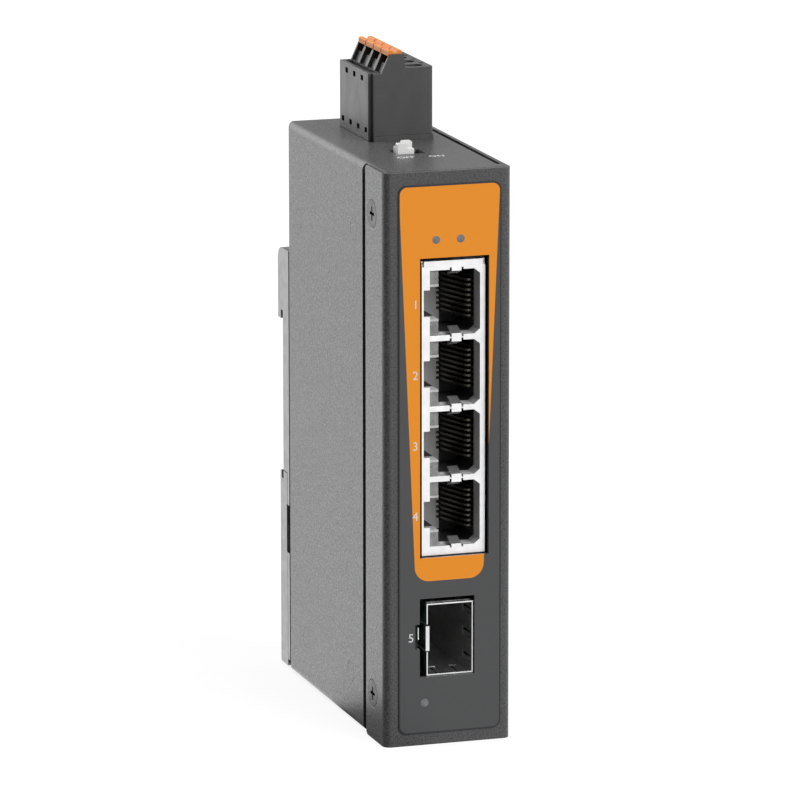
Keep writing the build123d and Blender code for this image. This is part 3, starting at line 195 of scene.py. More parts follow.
class PrintLooks(bpy.types.PropertyGroup):
    """The foil on the front, its print, the painted shadow along its edge and the white lettering."""

    field: colour("Field", "Orange field of the foil", (0.93, 0.305, 0.008))
    ground: colour("Ground", "Dark ground of the foil", (0.058, 0.059, 0.061))
    # Painted shadow: the dark line stands in for the shade where the foil's edge meets the front cover.
    outline: colour("Outline", "Dark line along the foil's edge", (0.006, 0.007, 0.01))
    outline_width: length("Outline width", "Width of the dark line", 0.35 * MM)
    white: colour("Lettering", "White ink", (0.8, 0.8, 0.8))
    field_bottom: length("Field bottom", "Height of the field's lower edge", 33.0 * MM)
    field_left: length("Field left", "Field's left edge from the case's left side, at its top", 3.0 * MM)
    field_right: length("Field right", "Field's right edge from the same side, at its top", 23.5 * MM)
    field_slope: share("Field taper", "Inward run of each long edge for its drop", 0.0428)
    taper: length("Taper", "Height at which the long edges begin to lean", 110.0 * MM)
    corner_low: length("Lower corners", "Radius of the field's lower corners", 2.8 * MM)
    corner_high: length("Upper corners", "Radius of the field's upper corners", 1.5 * MM)
    digit: length("Digit", "Height of the port digits", 1.75 * MM)
    word: length("Word", "Height of the words beside the selector", 1.5 * MM)
    ink: length("Ink", "Thickness of the ink", 0.02 * MM)
    lamp: colour("Lamp windows", "Unlit lamp windows in the foil", (0.175, 0.18, 0.19))
    lamp_radius: length("Lamp window", "Radius of a lamp window", 0.8 * MM)


class PlasticLooks(bpy.types.PropertyGroup):
    """The mouldings."""

    terminal: colour("Terminal", "Plug and header of the power terminal", (0.05, 0.05, 0.051))
    jack: colour("Jack", "Insulator of the network jack", (0.024, 0.024, 0.025))
    frame: colour("Jack frame", "Grey front frame and carriers of the network jack", (0.58, 0.58, 0.58))
    pipe: colour("Light pipes", "Cloudy light pipes", (0.34, 0.34, 0.345))
    white: colour("Selector", "White sliders of the selector", (0.82, 0.82, 0.81))
    lever: colour("Levers", "Orange release levers", (0.77, 0.25, 0.033))
    spark: length("Spark texture", "Width of one pit of the eroded mould", 0.2 * MM)
    spark_depth: length("Spark depth", "Depth of one pit of the eroded mould", 0.002 * MM)
    edge: length("Edge", "Radius of a moulded edge", 0.12 * MM)


class MetalLooks(bpy.types.PropertyGroup):
    """The bare and plated metals."""

    shield: colour("Jack shield", "Tinned sheet round the network jack", (0.78, 0.78, 0.785))
    cage: colour("Module cage", "Nickel-plated sheet of the module cage", (0.72, 0.72, 0.72))
    # Painted shade: the collar's colour is far darker than the cage's sheet, and stands in for the dark
    # cut-out of the cover that the collar reflects.
    collar: colour("Spring collar", "Duller sheet of the collar round the cage", (0.12, 0.12, 0.12))
    bracket: colour("Rail bracket", "Galvanised sheet of the bracket and the latch", (0.21, 0.21, 0.21))
    spring: colour("Springs", "Bare spring steel", (0.5, 0.5, 0.5))
    # Painted shade: the contacts' colour is set far darker and greyer than gold plating, standing in for
    # the shade deep inside the ports.
    gold_with_painted_shade: colour("Contacts", "Gold-plated contact wires", (0.17, 0.155, 0.125))
    tin: colour("Pins", "Tinned pins", (0.7, 0.7, 0.7))
    copper: colour("Clamps", "Copper alloy of the clamps", (0.75, 0.42, 0.28))
    spangle: length("Spangle", "Width of one crystal of the zinc", 1.6 * MM)
    grain: length("Drawn grain", "Width of the faint grain of a drawn wire", 0.15 * MM)
    edge: length("Edge", "Radius of a punched edge", 0.06 * MM)
    coil_wire: length("Coil wire", "Thickness of the latch spring's wire", 0.5 * MM)
    leaf: length("Leaf", "Thickness of a clamp spring's leaf", 0.3 * MM)


class BoardLooks(bpy.types.PropertyGroup):
    """The circuit board and what is soldered to it."""

    resist: colour("Resist", "Dark green solder resist", (0.007, 0.024, 0.014))
    track: colour("Tracks", "Resist over copper", (0.011, 0.042, 0.023))
    copper: length("Copper", "Height of a track under the resist", 0.03 * MM)
    resin: colour("Chips", "Moulded resin", (0.025, 0.025, 0.026))
    can: colour("Cans", "Aluminium cans", (0.72, 0.72, 0.73))


class StudioLooks(bpy.types.PropertyGroup):
    """The pale floor, the lights and the camera."""

    eye: spot("Eye", "Place of the camera", (-0.37955, -1.17605, 0.32831))
    aim: spot("Aim", "Point the camera looks at", (-0.0037125, -0.013275, 0.0652475))
    roll: bpy.props.FloatProperty(
        name="Roll",
        description="Turn of the camera about its line of sight",
        unit="ROTATION",
        default=-0.00077,
    )
    lens: bpy.props.FloatProperty(
        name="Lens",
        description="Focal length in millimetres on a 36 mm wide picture",
        min=1.0,
        default=286.0,
    )
    floor: colour("Floor", "Colour of the floor in the picture", (1.0, 1.0, 1.0))
    shade: share("Shade", "Share of the floor's brightness that a shadow may take", 0.16)
    key: level("Key", "Strength of the main light", 2.3)
    top: level("Top", "Strength of the light overhead", 0.9)
    rim: level("Rim", "Strength of the light behind", 0.8)
    ambient: level("Ambient", "Strength of the room's light on what isn't glossy", 0.4)


class SwitchLooks(bpy.types.PropertyGroup):
    """Everything that a user may change about the switch."""

    case: bpy.props.PointerProperty(type=CaseLooks, name="Case")
    print: bpy.props.PointerProperty(type=PrintLooks, name="Print")
    plastic: bpy.props.PointerProperty(type=PlasticLooks, name="Plastics")
    metal: bpy.props.PointerProperty(type=MetalLooks, name="Metals")
    board: bpy.props.PointerProperty(type=BoardLooks, name="Board")
    studio: bpy.props.PointerProperty(type=StudioLooks, name="Studio")


def looks():
    """The sizes and colours of the current scene."""
    return bpy.context.scene.switch_looks


# Materials


def feed(tree, socket, value):
    """Links a socket to another, or sets its value."""
    if isinstance(value, bpy.types.NodeSocket):
        tree.links.new(value, socket)
    else:
        socket.default_value = value


def arithmetic(tree, operation, *values, kind="ShaderNodeMath", result=0):
    """One step of arithmetic on numbers, or on vectors where the kind of node says so."""
    step = tree.nodes.new(kind)
    step.operation = operation
    for socket, value in zip(step.inputs, values):
        feed(tree, socket, value)
    return step.outputs[result]


def mapped(tree, value, low, high, start, end, shape="LINEAR"):
    """The value mapped from low..high to start..end and held at both ends."""
    step = tree.nodes.new("ShaderNodeMapRange")
    step.interpolation_type = shape
    for socket, number in zip(step.inputs, (value, low, high, start, end)):
        feed(tree, socket, number)
    return step.outputs[0]


class Finish:
    """A material while its nodes are laid: the tree, its shader and the piece's own coordinates."""

    def __init__(self, name, base, roughness, metallic=0.0):
        self.material = bpy.data.materials.new(name)
        self.material.use_nodes = True
        self.tree = self.material.node_tree
        self.shader = self.tree.nodes["Principled BSDF"]
        self.shader.inputs["Base Color"].default_value = (*base, 1.0)
        self.shader.inputs["Roughness"].default_value = roughness
        self.shader.inputs["Metallic"].default_value = metallic
        self.material.diffuse_color = (*base, 1.0)
        self.place = self.tree.nodes.new("ShaderNodeTexCoord").outputs["Object"]

    def node(self, kind, **settings):
        """A new node with some of its own settings."""
        made = self.tree.nodes.new(kind)
        for name, value in settings.items():
            setattr(made, name, value)
        return made

    def feed(self, socket, value):
        """Links one of the material's sockets to another, or sets its value."""
        feed(self.tree, socket, value)

    def sum(self, operation, *values):
        """One step of arithmetic on one or two numbers."""
        return arithmetic(self.tree, operation, *values)

    def ramp(self, value, low, high, start=0.0, end=1.0):
        """The value mapped from low..high to start..end and held at both ends."""
        return mapped(self.tree, value, low, high, start, end)

    def blend(self, factor, first, second):
        """A colour between two colours: sockets 6 and 7 take them and socket 2 gives the result."""
        step = self.node("ShaderNodeMix", data_type="RGBA")
        self.feed(step.inputs["Factor"], factor)
        for socket, value in ((step.inputs[6], first), (step.inputs[7], second)):
            self.feed(socket, (*value, 1.0) if isinstance(value, tuple) else value)
        return step.outputs[2]

    def noise(self, width, detail=2.0, stretch=(1.0, 1.0, 1.0)):
        """Noise with waves about so wide in metres, stretched by the given factors along the axes."""
        spread = self.node("ShaderNodeMapping")
        self.feed(spread.inputs["Vector"], self.place)
        spread.inputs["Scale"].default_value = [1.0 / (width * factor) for factor in stretch]
        waves = self.node("ShaderNodeTexNoise")
        waves.inputs["Scale"].default_value = 1.0
        waves.inputs["Detail"].default_value = detail
        self.feed(waves.inputs["Vector"], spread.outputs[0])
        return waves.outputs[0]

    def axes(self):
        """The three coordinates of the shaded point."""
        return self.split(self.place)

    def split(self, vector):
        """The three parts of a vector."""
        parts = self.node("ShaderNodeSeparateXYZ")
        self.feed(parts.inputs[0], vector)
        return parts.outputs

    def tint(self, base, pattern, spread):
        """The base colour made darker and lighter by a share, after a pattern."""
        dark = tuple(c * (1.0 - spread) for c in base)
        light = tuple(min(1.0, c * (1.0 + spread)) for c in base)
        shade = self.blend(self.ramp(pattern, *NOISE_SPAN), dark, light)
        self.feed(self.shader.inputs["Base Color"], shade)

    def gloss(self, pattern, low, high):
        """Roughness between two values, after a pattern."""
        self.feed(self.shader.inputs["Roughness"], self.ramp(pattern, *NOISE_SPAN, low, high))

    def relief(self, *layers, edge=0.0):
        """Softens the edges by a radius, lays bumps over each other, and returns the material.

        Each layer is a pattern and its depth.
        """
        normal = None
        if edge:
            soft = self.node("ShaderNodeBevel", samples=4)
            soft.inputs["Radius"].default_value = edge
            normal = soft.outputs[0]
        for pattern, depth in layers:
            bump = self.node("ShaderNodeBump")
            bump.inputs["Strength"].default_value = 1.0
            bump.inputs["Distance"].default_value = depth
            self.feed(bump.inputs["Height"], pattern)
            if normal:
                self.feed(bump.inputs["Normal"], normal)
            normal = bump.outputs[0]
        self.feed(self.shader.inputs["Normal"], normal)
        return self.material


def powder_coat():
    """Fine-grained powder coat: small grains that differ in shade and gloss, over slow waves."""
    looks_of = looks().case
    coat = Finish("powder_coat", looks_of.paint, looks_of.roughness)
    grain = coat.noise(looks_of.grain, detail=1.0)
    ripple = coat.noise(looks_of.ripple)
    coat.tint(tuple(looks_of.paint), grain, looks_of.mottle)
    coat.gloss(grain, low=looks_of.roughness - 0.14, high=looks_of.roughness + 0.12)
    layers = (ripple, looks_of.ripple_depth), (grain, looks_of.grain_depth)
    return coat.relief(*layers, edge=looks_of.edge)


def screw_plating():
    """Black zinc: a dark metal with a faint cloudy sheen."""
    base = tuple(looks().case.screw)
    plate = Finish("black_zinc", base, roughness=0.38, metallic=1.0)
    cloud = plate.noise(width=0.9 * MM, detail=3.0)
    plate.tint(base, cloud, spread=0.3)
    plate.gloss(cloud, low=0.3, high=0.5)
    return plate.relief((plate.noise(width=0.15 * MM), 0.003 * MM), edge=0.05 * MM)


def moulded(name, base, roughness, spark=1.0, flow=0.08):
    """Moulded plastic: pits of the eroded mould, and clouds where the melt flowed."""
    looks_of = looks().plastic
    plastic = Finish(name, base, roughness)
    clouds = plastic.noise(width=3.0 * MM, detail=3.0, stretch=(1.0, 1.0, 2.5))
    plastic.tint(tuple(base), clouds, spread=flow)
    plastic.gloss(clouds, low=roughness - 0.05, high=roughness + 0.07)
    pits = plastic.noise(looks_of.spark)
    return plastic.relief((pits, looks_of.spark_depth * spark), edge=looks_of.edge)


def rolled_sheet(name, base, roughness, stretch):
    """Rolled metal sheet: fine lines along the way it was rolled, with small clouds in its shade."""
    sheet = Finish(name, base, roughness, metallic=1.0)
    lines = sheet.noise(width=0.08 * MM, stretch=stretch)
    clouds = sheet.noise(width=1.8 * MM)
    sheet.tint(tuple(base), clouds, spread=0.06)
    sheet.gloss(lines, low=roughness - 0.06, high=roughness + 0.1)
    return sheet.relief((lines, 0.0006 * MM), edge=looks().metal.edge)


def galvanised(name, base):
    """Galvanised sheet: soft crystals of zinc that differ a little in shade and gloss."""
    looks_of = looks().metal
    sheet = Finish(name, base, roughness=0.42, metallic=1.0)
    crystals = sheet.node("ShaderNodeTexVoronoi", feature="F1")
    sheet.feed(crystals.inputs["Vector"], sheet.place)
    crystals.inputs["Scale"].default_value = 1.0 / looks_of.spangle
    shade = sheet.split(crystals.outputs["Color"])[0]
    sheet.tint(tuple(base), shade, spread=0.07)
    sheet.gloss(shade, low=0.36, high=0.5)
    return sheet.relief((sheet.noise(width=0.3 * MM, detail=3.0), 0.002 * MM), edge=looks_of.edge)


def plated(name, base, roughness):
    """Plated wire or pin: bright, with a faint drawn grain."""
    wire = Finish(name, base, roughness, metallic=1.0)
    grain = wire.noise(looks().metal.grain)
    wire.tint(tuple(base), grain, spread=0.08)
    wire.gloss(grain, low=roughness - 0.05, high=roughness + 0.08)
    return wire.relief((grain, 0.0008 * MM))


def cloudy_plastic():
    """The light pipes: cloudy clear plastic that takes its grey from the dark round it."""
    base = tuple(looks().plastic.pipe)
    pipe = Finish("cloudy_plastic", base, roughness=0.28)
    haze = pipe.noise(width=1.2 * MM, detail=3.0)
    pipe.tint(base, haze, spread=0.25)
    pipe.gloss(haze, low=0.22, high=0.4)
    pipe.shader.inputs["Transmission Weight"].default_value = 0.25
    pipe.shader.inputs["IOR"].default_value = 1.49
    return pipe.relief((pipe.noise(width=0.4 * MM), 0.004 * MM), edge=0.1 * MM)


def board_resist():
    """Solder resist over tracks: straight bands of copper show through as paler green."""
    looks_of = looks().board
    resist = Finish("solder_resist", looks_of.resist, roughness=0.32)
    across = resist.noise(width=0.5 * MM, detail=0.0, stretch=(1.0, 0.6, 14.0))
    along = resist.noise(width=0.5 * MM, detail=0.0, stretch=(1.0, 14.0, 0.6))
    tracks = resist.ramp(resist.sum("MAXIMUM", across, along), low=0.6, high=0.63)
    shade = resist.blend(tracks, tuple(looks_of.resist), tuple(looks_of.track))
    resist.feed(resist.shader.inputs["Base Color"], shade)
    return resist.relief((tracks, looks_of.copper))


def foil_print():
    """The foil: an orange field on a dark ground inside a dark line of painted shadow along its edge,
    with a fine satin grain.

    The field is what lies right of the left edge, left of the right edge and above the lower edge.
    Both long edges lean inwards below the height where their taper begins.
    A point's depth in the field is its distance to the nearest edge, rounded in the corners.
    """
    looks_of = looks().print
    foil = Finish("foil_print", looks_of.ground, roughness=0.4)
    x, _, z = foil.axes()
    low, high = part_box("front_foil")
    half_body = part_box("front_cover")[1].x

    def corner(side, upright, radius):
        """Signed distance outside two edges at a right angle, with a round corner between them."""
        across = foil.sum("MAXIMUM", foil.sum("ADD", side, radius), 0.0)
        along = foil.sum("MAXIMUM", foil.sum("ADD", upright, radius), 0.0)
        squares = foil.sum("ADD", foil.sum("POWER", across, 2.0), foil.sum("POWER", along, 2.0))
        return foil.sum("SUBTRACT", foil.sum("SQRT", squares), radius)

    def beyond(value, start, end):
        """Signed distance outside a span, along one axis."""
        from_middle = foil.sum("ABSOLUTE", foil.sum("SUBTRACT", value, (start + end) / 2))
        return foil.sum("SUBTRACT", from_middle, (end - start) / 2)

    drop = foil.sum("MAXIMUM", foil.sum("SUBTRACT", looks_of.taper, z), 0.0)
    shift = foil.sum("MULTIPLY", drop, looks_of.field_slope)
    left = foil.sum("SUBTRACT", foil.sum("ADD", shift, looks_of.field_left - half_body), x)
    right = foil.sum("ADD", foil.sum("ADD", shift, half_body - looks_of.field_right), x)
    side = foil.sum("MAXIMUM", left, right)
    bottom = foil.sum("SUBTRACT", looks_of.field_bottom, z)
    top = foil.sum("SUBTRACT", z, high.z - looks_of.outline_width)
    low_corner = corner(side, bottom, looks_of.corner_low)
    outside = foil.sum("MAXIMUM", low_corner, corner(side, top, looks_of.corner_high))
    field = foil.ramp(outside, low=-0.01 * MM, high=0.01 * MM, start=1.0, end=0.0)

    # A band just inside the foil's rounded outline is painted dark, as the shadow where the foil's edge
    # meets the cover.
    outline = looks_of.outline_width
    rim = corner(beyond(x, low.x, high.x), beyond(z, low.z, high.z), looks_of.corner_high + outline)
    edge = foil.ramp(rim, low=-outline, high=-outline * 0.8)

    cloud = foil.noise(width=0.5 * MM)
    darker = tuple(c * 0.95 for c in looks_of.ground)
    ground = foil.blend(foil.ramp(cloud, *NOISE_SPAN), darker, tuple(looks_of.ground))
    printed = foil.blend(field, ground, tuple(looks_of.field))
    foil.feed(foil.shader.inputs["Base Color"], foil.blend(edge, printed, tuple(looks_of.outline)))
    foil.gloss(cloud, low=0.36, high=0.46)
    return foil.relief((foil.noise(width=0.25 * MM), 0.002 * MM), edge=0.05 * MM)


def ink(name, base):
    """Screen-printed ink: satin, with the faint grain of the screen."""
    print_ink = Finish(name, base, roughness=0.5)
    grain = print_ink.noise(width=0.12 * MM, detail=1.0)
    print_ink.tint(tuple(base), grain, spread=0.04)
    return print_ink.relief((grain, 0.002 * MM))


def lamp_window():
    """An unlit lamp window: a grey, slightly glossy lens, a little cloudy."""
    base = tuple(looks().print.lamp)
    lens = Finish("lamp_window", base, roughness=0.25)
    cloud = lens.noise(width=0.5 * MM)
    lens.tint(base, cloud, spread=0.25)
    return lens.relief((cloud, 0.004 * MM))


# Pieces


def dress(material, *names):
    """Gives frame nodes a material."""
    for name in names:
        node = frame["nodes"][name]
        if not node.material_slots:
            node.data.materials.append(material)
        for held in node.material_slots:
            held.material = material


def mesh_piece(name, points, faces, material, body, smooth=True):
    """A new piece from arrays of points and faces, with its place in its mesh, riding on a body."""
    mesh = bpy.data.meshes.new(name)
    mesh.from_pydata(points.tolist(), [], [list(map(int, face)) for face in faces])
    mesh.materials.append(material)
    mesh.polygons.foreach_set("use_smooth", [smooth] * len(mesh.polygons))
    mesh.validate()
    mesh.update()
    piece = bpy.data.objects.new(name, mesh)
    bpy.context.scene.collection.objects.link(piece)
    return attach(piece, body)


def lettering(name, words, height, place, turn, material, body):
    """Flat printed letters, centred on a place, turned from the page to the surface they are on."""
    curve = bpy.data.curves.new(name, "FONT")
    curve.body = words
    curve.align_x = "CENTER"
    curve.align_y = "CENTER"
    curve.size = height / CAPITAL_SHARE
    curve.extrude = looks().print.ink / 2
    curve.resolution_u = 6
    draft = bpy.data.objects.new(name, curve)
    bpy.context.scene.collection.objects.link(draft)
    bpy.context.view_layer.update()
    mesh = bpy.data.meshes.new_from_object(draft)
    bpy.data.objects.remove(draft)
    mesh.transform(Matrix.Translation(place) @ turn.to_4x4())
    mesh.materials.clear()
    mesh.materials.append(material)
    piece = bpy.data.objects.new(name, mesh)
    bpy.context.scene.collection.objects.link(piece)
    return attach(piece, body)


def lamp_lens(radius, rise, rings=6, spokes=32):
    """A low dome: at share s of the radius and turn t it stands rise * (1 - s squared) proud.

    Returns points (x, proud, z) and faces of a disc that is closed at its middle.
    """
    s = np.linspace(0.0, 1.0, rings + 1)[1:]
    t = np.linspace(0.0, 2.0 * np.pi, spokes, endpoint=False)
    s, t = np.meshgrid(s, t, indexing="ij")
    dome = (radius * s * np.cos(t), rise * (1.0 - s**2), radius * s * np.sin(t))
    points = np.vstack((np.stack(dome, axis=-1).reshape(-1, 3), (0.0, rise, 0.0)))
    ring, spoke = np.meshgrid(np.arange(rings - 1), np.arange(spokes), indexing="ij")
    here = (ring * spokes + spoke).ravel()
    over = (ring * spokes + (spoke + 1) % spokes).ravel()
    quads = np.stack((here, over, over + spokes, here + spokes), axis=1)
    first = np.arange(spokes)
    fan = np.stack((np.full(spokes, len(points) - 1), (first + 1) % spokes, first), axis=1)
    return points, [*quads, *fan]


def tube_faces(rings, sides):
    """Faces between rings of points, and one face that closes each end."""
    ring, side = np.meshgrid(np.arange(rings - 1), np.arange(sides), indexing="ij")
    here = (ring * sides + side).ravel()
    over = (ring * sides + (side + 1) % sides).ravel()
    skin = np.stack((here, over, over + sides, here + sides), axis=1)
    first = np.arange(sides)[::-1]
    return [*skin, first, first[::-1] + (rings - 1) * sides]


def coil(radius, wire, height, turns, closed=0.8, steps=48, sides=12):
    """A compression spring that stands on z = 0, wound with closed ends.

    At turn t the wire's middle stands over radius * (cos, sin) of that turn. It rises one wire a
    turn over each closed end, and evenly over the free turns between them. The skin round it is
    a circle of half a wire, square to the path. Returns points and faces.
    """
    t = np.linspace(0.0, turns, int(turns * steps) + 1)
    free = height - wire - 2.0 * closed * wire
    ends = np.minimum(t, closed) + np.maximum(t - turns + closed, 0.0)
    z = wire / 2 + wire * ends + free * np.clip((t - closed) / (turns - 2.0 * closed), 0.0, 1.0)
    out = np.stack((np.cos(2.0 * np.pi * t), np.sin(2.0 * np.pi * t), np.zeros_like(t)), axis=-1)
    middle = radius * out + np.stack((np.zeros_like(t), np.zeros_like(t), z), axis=-1)
    along = np.gradient(middle, axis=0)
    along /= np.linalg.norm(along, axis=1, keepdims=True)
    across = np.cross(along, out)
    u = np.linspace(0.0, 2.0 * np.pi, sides, endpoint=False)[None, :, None]
    skin = middle[:, None] + wire / 2 * (np.cos(u) * out[:, None] + np.sin(u) * across[:, None])
    return skin.reshape(-1, 3), tube_faces(len(t), sides)


def bent_leaf(corners, bend, thickness, low_y, high_y, steps=6):
    """A strip bent along (x, z) corners, with its width from low_y to high_y.

    Each bend begins and ends at the bend's length from its corner. At share s of it the middle is
    (1 - s)^2 of its start, 2 s (1 - s) of the corner and s^2 of its end. The strip's faces lie
    half a thickness to either side, square to the path. Returns points and faces.
    """
    corners = np.asarray(corners, float)
    s = np.linspace(0.0, 1.0, steps + 1)[:, None]
    path = [corners[:1]]
    for before, corner, after in zip(corners, corners[1:], corners[2:]):
        start = corner + bend * (before - corner) / np.linalg.norm(before - corner)
        end = corner + bend * (after - corner) / np.linalg.norm(after - corner)
        path.append((1.0 - s) ** 2 * start + 2.0 * s * (1.0 - s) * corner + s**2 * end)
    path = np.vstack((*path, corners[-1:]))
    along = np.gradient(path, axis=0)
    along /= np.linalg.norm(along, axis=1, keepdims=True)
    across = thickness / 2 * np.stack((-along[:, 1], along[:, 0]), axis=-1)
    ring = []
    for side, y in ((1.0, low_y), (1.0, high_y), (-1.0, high_y), (-1.0, low_y)):
        face = path + side * across
        ring.append(np.stack((face[:, 0], np.full(len(face), y), face[:, 1]), axis=-1))
    return np.stack(ring, axis=1).reshape(-1, 3), tube_faces(len(path), sides=4)


# Operators


class SWITCH_OT_case(bpy.types.Operator):
    """Powder coat on the case and its cover, black zinc on their screws"""

    bl_idname = "switch.case"
    bl_label = "Case"

    def execute(self, context):
        dress(powder_coat(), "body_shell", "front_cover", "board_standoffs")
        dress(screw_plating(), "cover_screws")
        return {"FINISHED"}


class SWITCH_OT_front_foil(bpy.types.Operator):
    """The printed foil, its digits and its lamp windows"""

    bl_idname = "switch.front_foil"
    bl_label = "Front foil"

    def execute(self, context):
        sizes = looks().print
        dress(foil_print(), "front_foil")
        white = ink("white_ink", sizes.white)
        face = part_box("front_foil")[0].y
        for digit, x, z in PORT_DIGITS:
            spot_on_foil = Vector((x, face - sizes.ink / 2, z))
            lettering(f"port_digit_{digit}", digit, sizes.digit, spot_on_foil, UPRIGHT, white, "case")
        glass = lamp_window()
        for number, (x, z) in enumerate(LAMP_PLACES, 1):
            points, faces = lamp_lens(sizes.lamp_radius, rise=sizes.ink * 2)
            # The rim stands a little off the foil, so that the two don't share a face.
            placed = points * (1.0, -1.0, 1.0) + (x, face - sizes.ink / 4, z)
            mesh_piece(f"lamp_window_{number}", placed, faces, glass, "case")
        return {"FINISHED"}


class SWITCH_OT_jack(bpy.types.Operator):
    """The ganged network jack: shield, insulator, contacts and light pipes"""

    bl_idname = "switch.jack"
    bl_label = "Network jack"

    def execute(self, context):
        metal, plastic = looks().metal, looks().plastic
        shield = rolled_sheet("tinned_sheet", metal.shield, roughness=0.4, stretch=ROLLED_UP)
        dress(shield, "jack_shield")
        dress(moulded("jack_moulding", plastic.jack, roughness=0.5, spark=1.5), "jack_housing")
        grey = moulded("jack_frame_moulding", plastic.frame, roughness=0.45)
        dress(grey, "jack_frame", "jack_carriers")
        # The contacts' dark colour is painted shade, standing in for the shade inside the ports.
        dress(plated("gold_plating", metal.gold_with_painted_shade, roughness=0.24), "jack_contacts")
        dress(cloudy_plastic(), "jack_light_pipes", "lamp_pipe")
        return {"FINISHED"}


class SWITCH_OT_module_cage(bpy.types.Operator):
    """The cage for the optical module, its spring collar and the connector inside"""

    bl_idname = "switch.module_cage"
    bl_label = "Module cage"

    def execute(self, context):
        metal, plastic = looks().metal, looks().plastic
        nickel = rolled_sheet("nickel_sheet", metal.cage, roughness=0.32, stretch=ROLLED_BACK)
        dress(nickel, "module_cage")
        # Painted shade: the collar gets a much darker copy of the cage's sheet, standing in for the dark
        # cut-out of the cover that it reflects.
        collar_painted_shade = rolled_sheet("collar_sheet", metal.collar, roughness=0.4, stretch=ROLLED_ACROSS)
        dress(collar_painted_shade, "cage_collar")
        dress(moulded("connector_moulding", plastic.jack, roughness=0.45), "module_connector")
        return {"FINISHED"}


class SWITCH_OT_terminal(bpy.types.Operator):
    """The power terminal: header, plug, pins, clamps, springs and levers"""

    bl_idname = "switch.terminal"
    bl_label = "Power terminal"

    def execute(self, context):
        metal, plastic = looks().metal, looks().plastic
        housing = moulded("terminal_moulding", plastic.terminal, roughness=0.42, flow=0.12)
        dress(housing, "terminal_header", "terminal_plug")
        orange = moulded("lever_moulding", plastic.lever, roughness=0.5)
        dress(orange, *(f"release_lever_{n}" for n in POLES))
        dress(plated("tin_plating", metal.tin, roughness=0.3), "header_pins")
        dress(plated("copper_alloy", metal.copper, roughness=0.3), "clamp_contacts")
        steel = plated("clamp_spring_steel", metal.spring, roughness=0.28)
        for number in POLES:
            self.clamp_spring(number, steel)
        return {"FINISHED"}

    def clamp_spring(self, number, steel):
        """A leaf that stands on the clamp's bar, bends over under the lever and leans on its plate."""
        node = f"clamp_spring_{number}"
        low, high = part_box(node)
        half = looks().metal.leaf / 2
        left, right, foot, top = low.x + half, high.x - half, low.z + half, high.z - half
        reach, rise = right - left, top - foot
        corners = (
            (left + FOOT_SHARE * reach, foot),
            (left, foot),
            (left, top),
            (left + KNEE_SHARE * reach, top),
            (right, foot + TIP_SHARE * rise),
        )
        points, faces = bent_leaf(corners, LEAF_BEND * half, 2.0 * half, low.y, high.y)
        leaf = mesh_piece(f"spring_leaf_{number}", points, faces, steel, "plug", smooth=False)
        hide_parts(node)
        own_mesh(leaf)


class SWITCH_OT_selector(bpy.types.Operator):
    """The two-way selector on top, with its words"""

    bl_idname = "switch.selector"
    bl_label = "Selector"

    def execute(self, context):
        plastic, sizes = looks().plastic, looks().print
        dress(moulded("selector_moulding", plastic.jack, roughness=0.42), "selector_body")
        slider = moulded("slider_moulding", plastic.white, roughness=0.34, spark=0.5, flow=0.03)
        dress(slider, "selector_slider_1", "selector_slider_2")
        white = ink("white_case_ink", sizes.white)
        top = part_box("body_shell")[1].z
        for word, x, y in SELECTOR_WORDS:
            spot_on_top = Vector((x, y, top + sizes.ink / 2))
            lettering(f"word_{word.lower()}", word, sizes.word, spot_on_top, FLAT, white, "case")
        return {"FINISHED"}


class SWITCH_OT_rail_clip(bpy.types.Operator):
    """The bracket, the sprung latch and their fastenings on the back"""

    bl_idname = "switch.rail_clip"
    bl_label = "Rail clip"

    def execute(self, context):
        metal = looks().metal
        dress(galvanised("galvanised_sheet", metal.bracket), "rail_bracket", "rail_latch")
        dress(plated("zinc_plating", metal.bracket, roughness=0.32), "guide_pins", "bracket_screws")
        self.latch_spring(plated("coil_steel", metal.spring, roughness=0.26))
        return {"FINISHED"}

    def latch_spring(self, steel):
        """A wound spring between the bracket's tab, where it stands, and the latch's shelf."""
        low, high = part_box("latch_spring")
        tab, shelf = low.z, high.z
        wire = looks().metal.coil_wire
        points, faces = coil((high.x - low.x - wire) / 2, wire, height=shelf - tab, turns=COIL_TURNS)
        placed = points + ((low.x + high.x) / 2, (low.y + high.y) / 2, tab)
        spring = mesh_piece("latch_coil", placed, faces, steel, "case")
        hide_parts("latch_spring")
        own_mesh(spring)


class SWITCH_OT_board(bpy.types.Operator):
    """The circuit board and everything soldered to it"""

    bl_idname = "switch.board"
    bl_label = "Circuit board"

    def execute(self, context):
        board, metal = looks().board, looks().metal
        dress(board_resist(), "circuit_board")
        dress(plated("screw_zinc", metal.bracket, roughness=0.34), "board_screws")
        resin = moulded("chip_resin", board.resin, roughness=0.5, spark=1.5)
        dress(resin, "switch_chip", "transformers", "module_driver")
        dress(resin, "input_fuse", "input_diodes", "power_coil")
        cans = rolled_sheet("can_aluminium", board.can, roughness=0.28, stretch=DRAWN_UP)
        dress(cans, "power_cans", "crystal")
        dress(moulded("lamp_chip", looks().plastic.white, roughness=0.3), "chip_lamps")
        return {"FINISHED"}


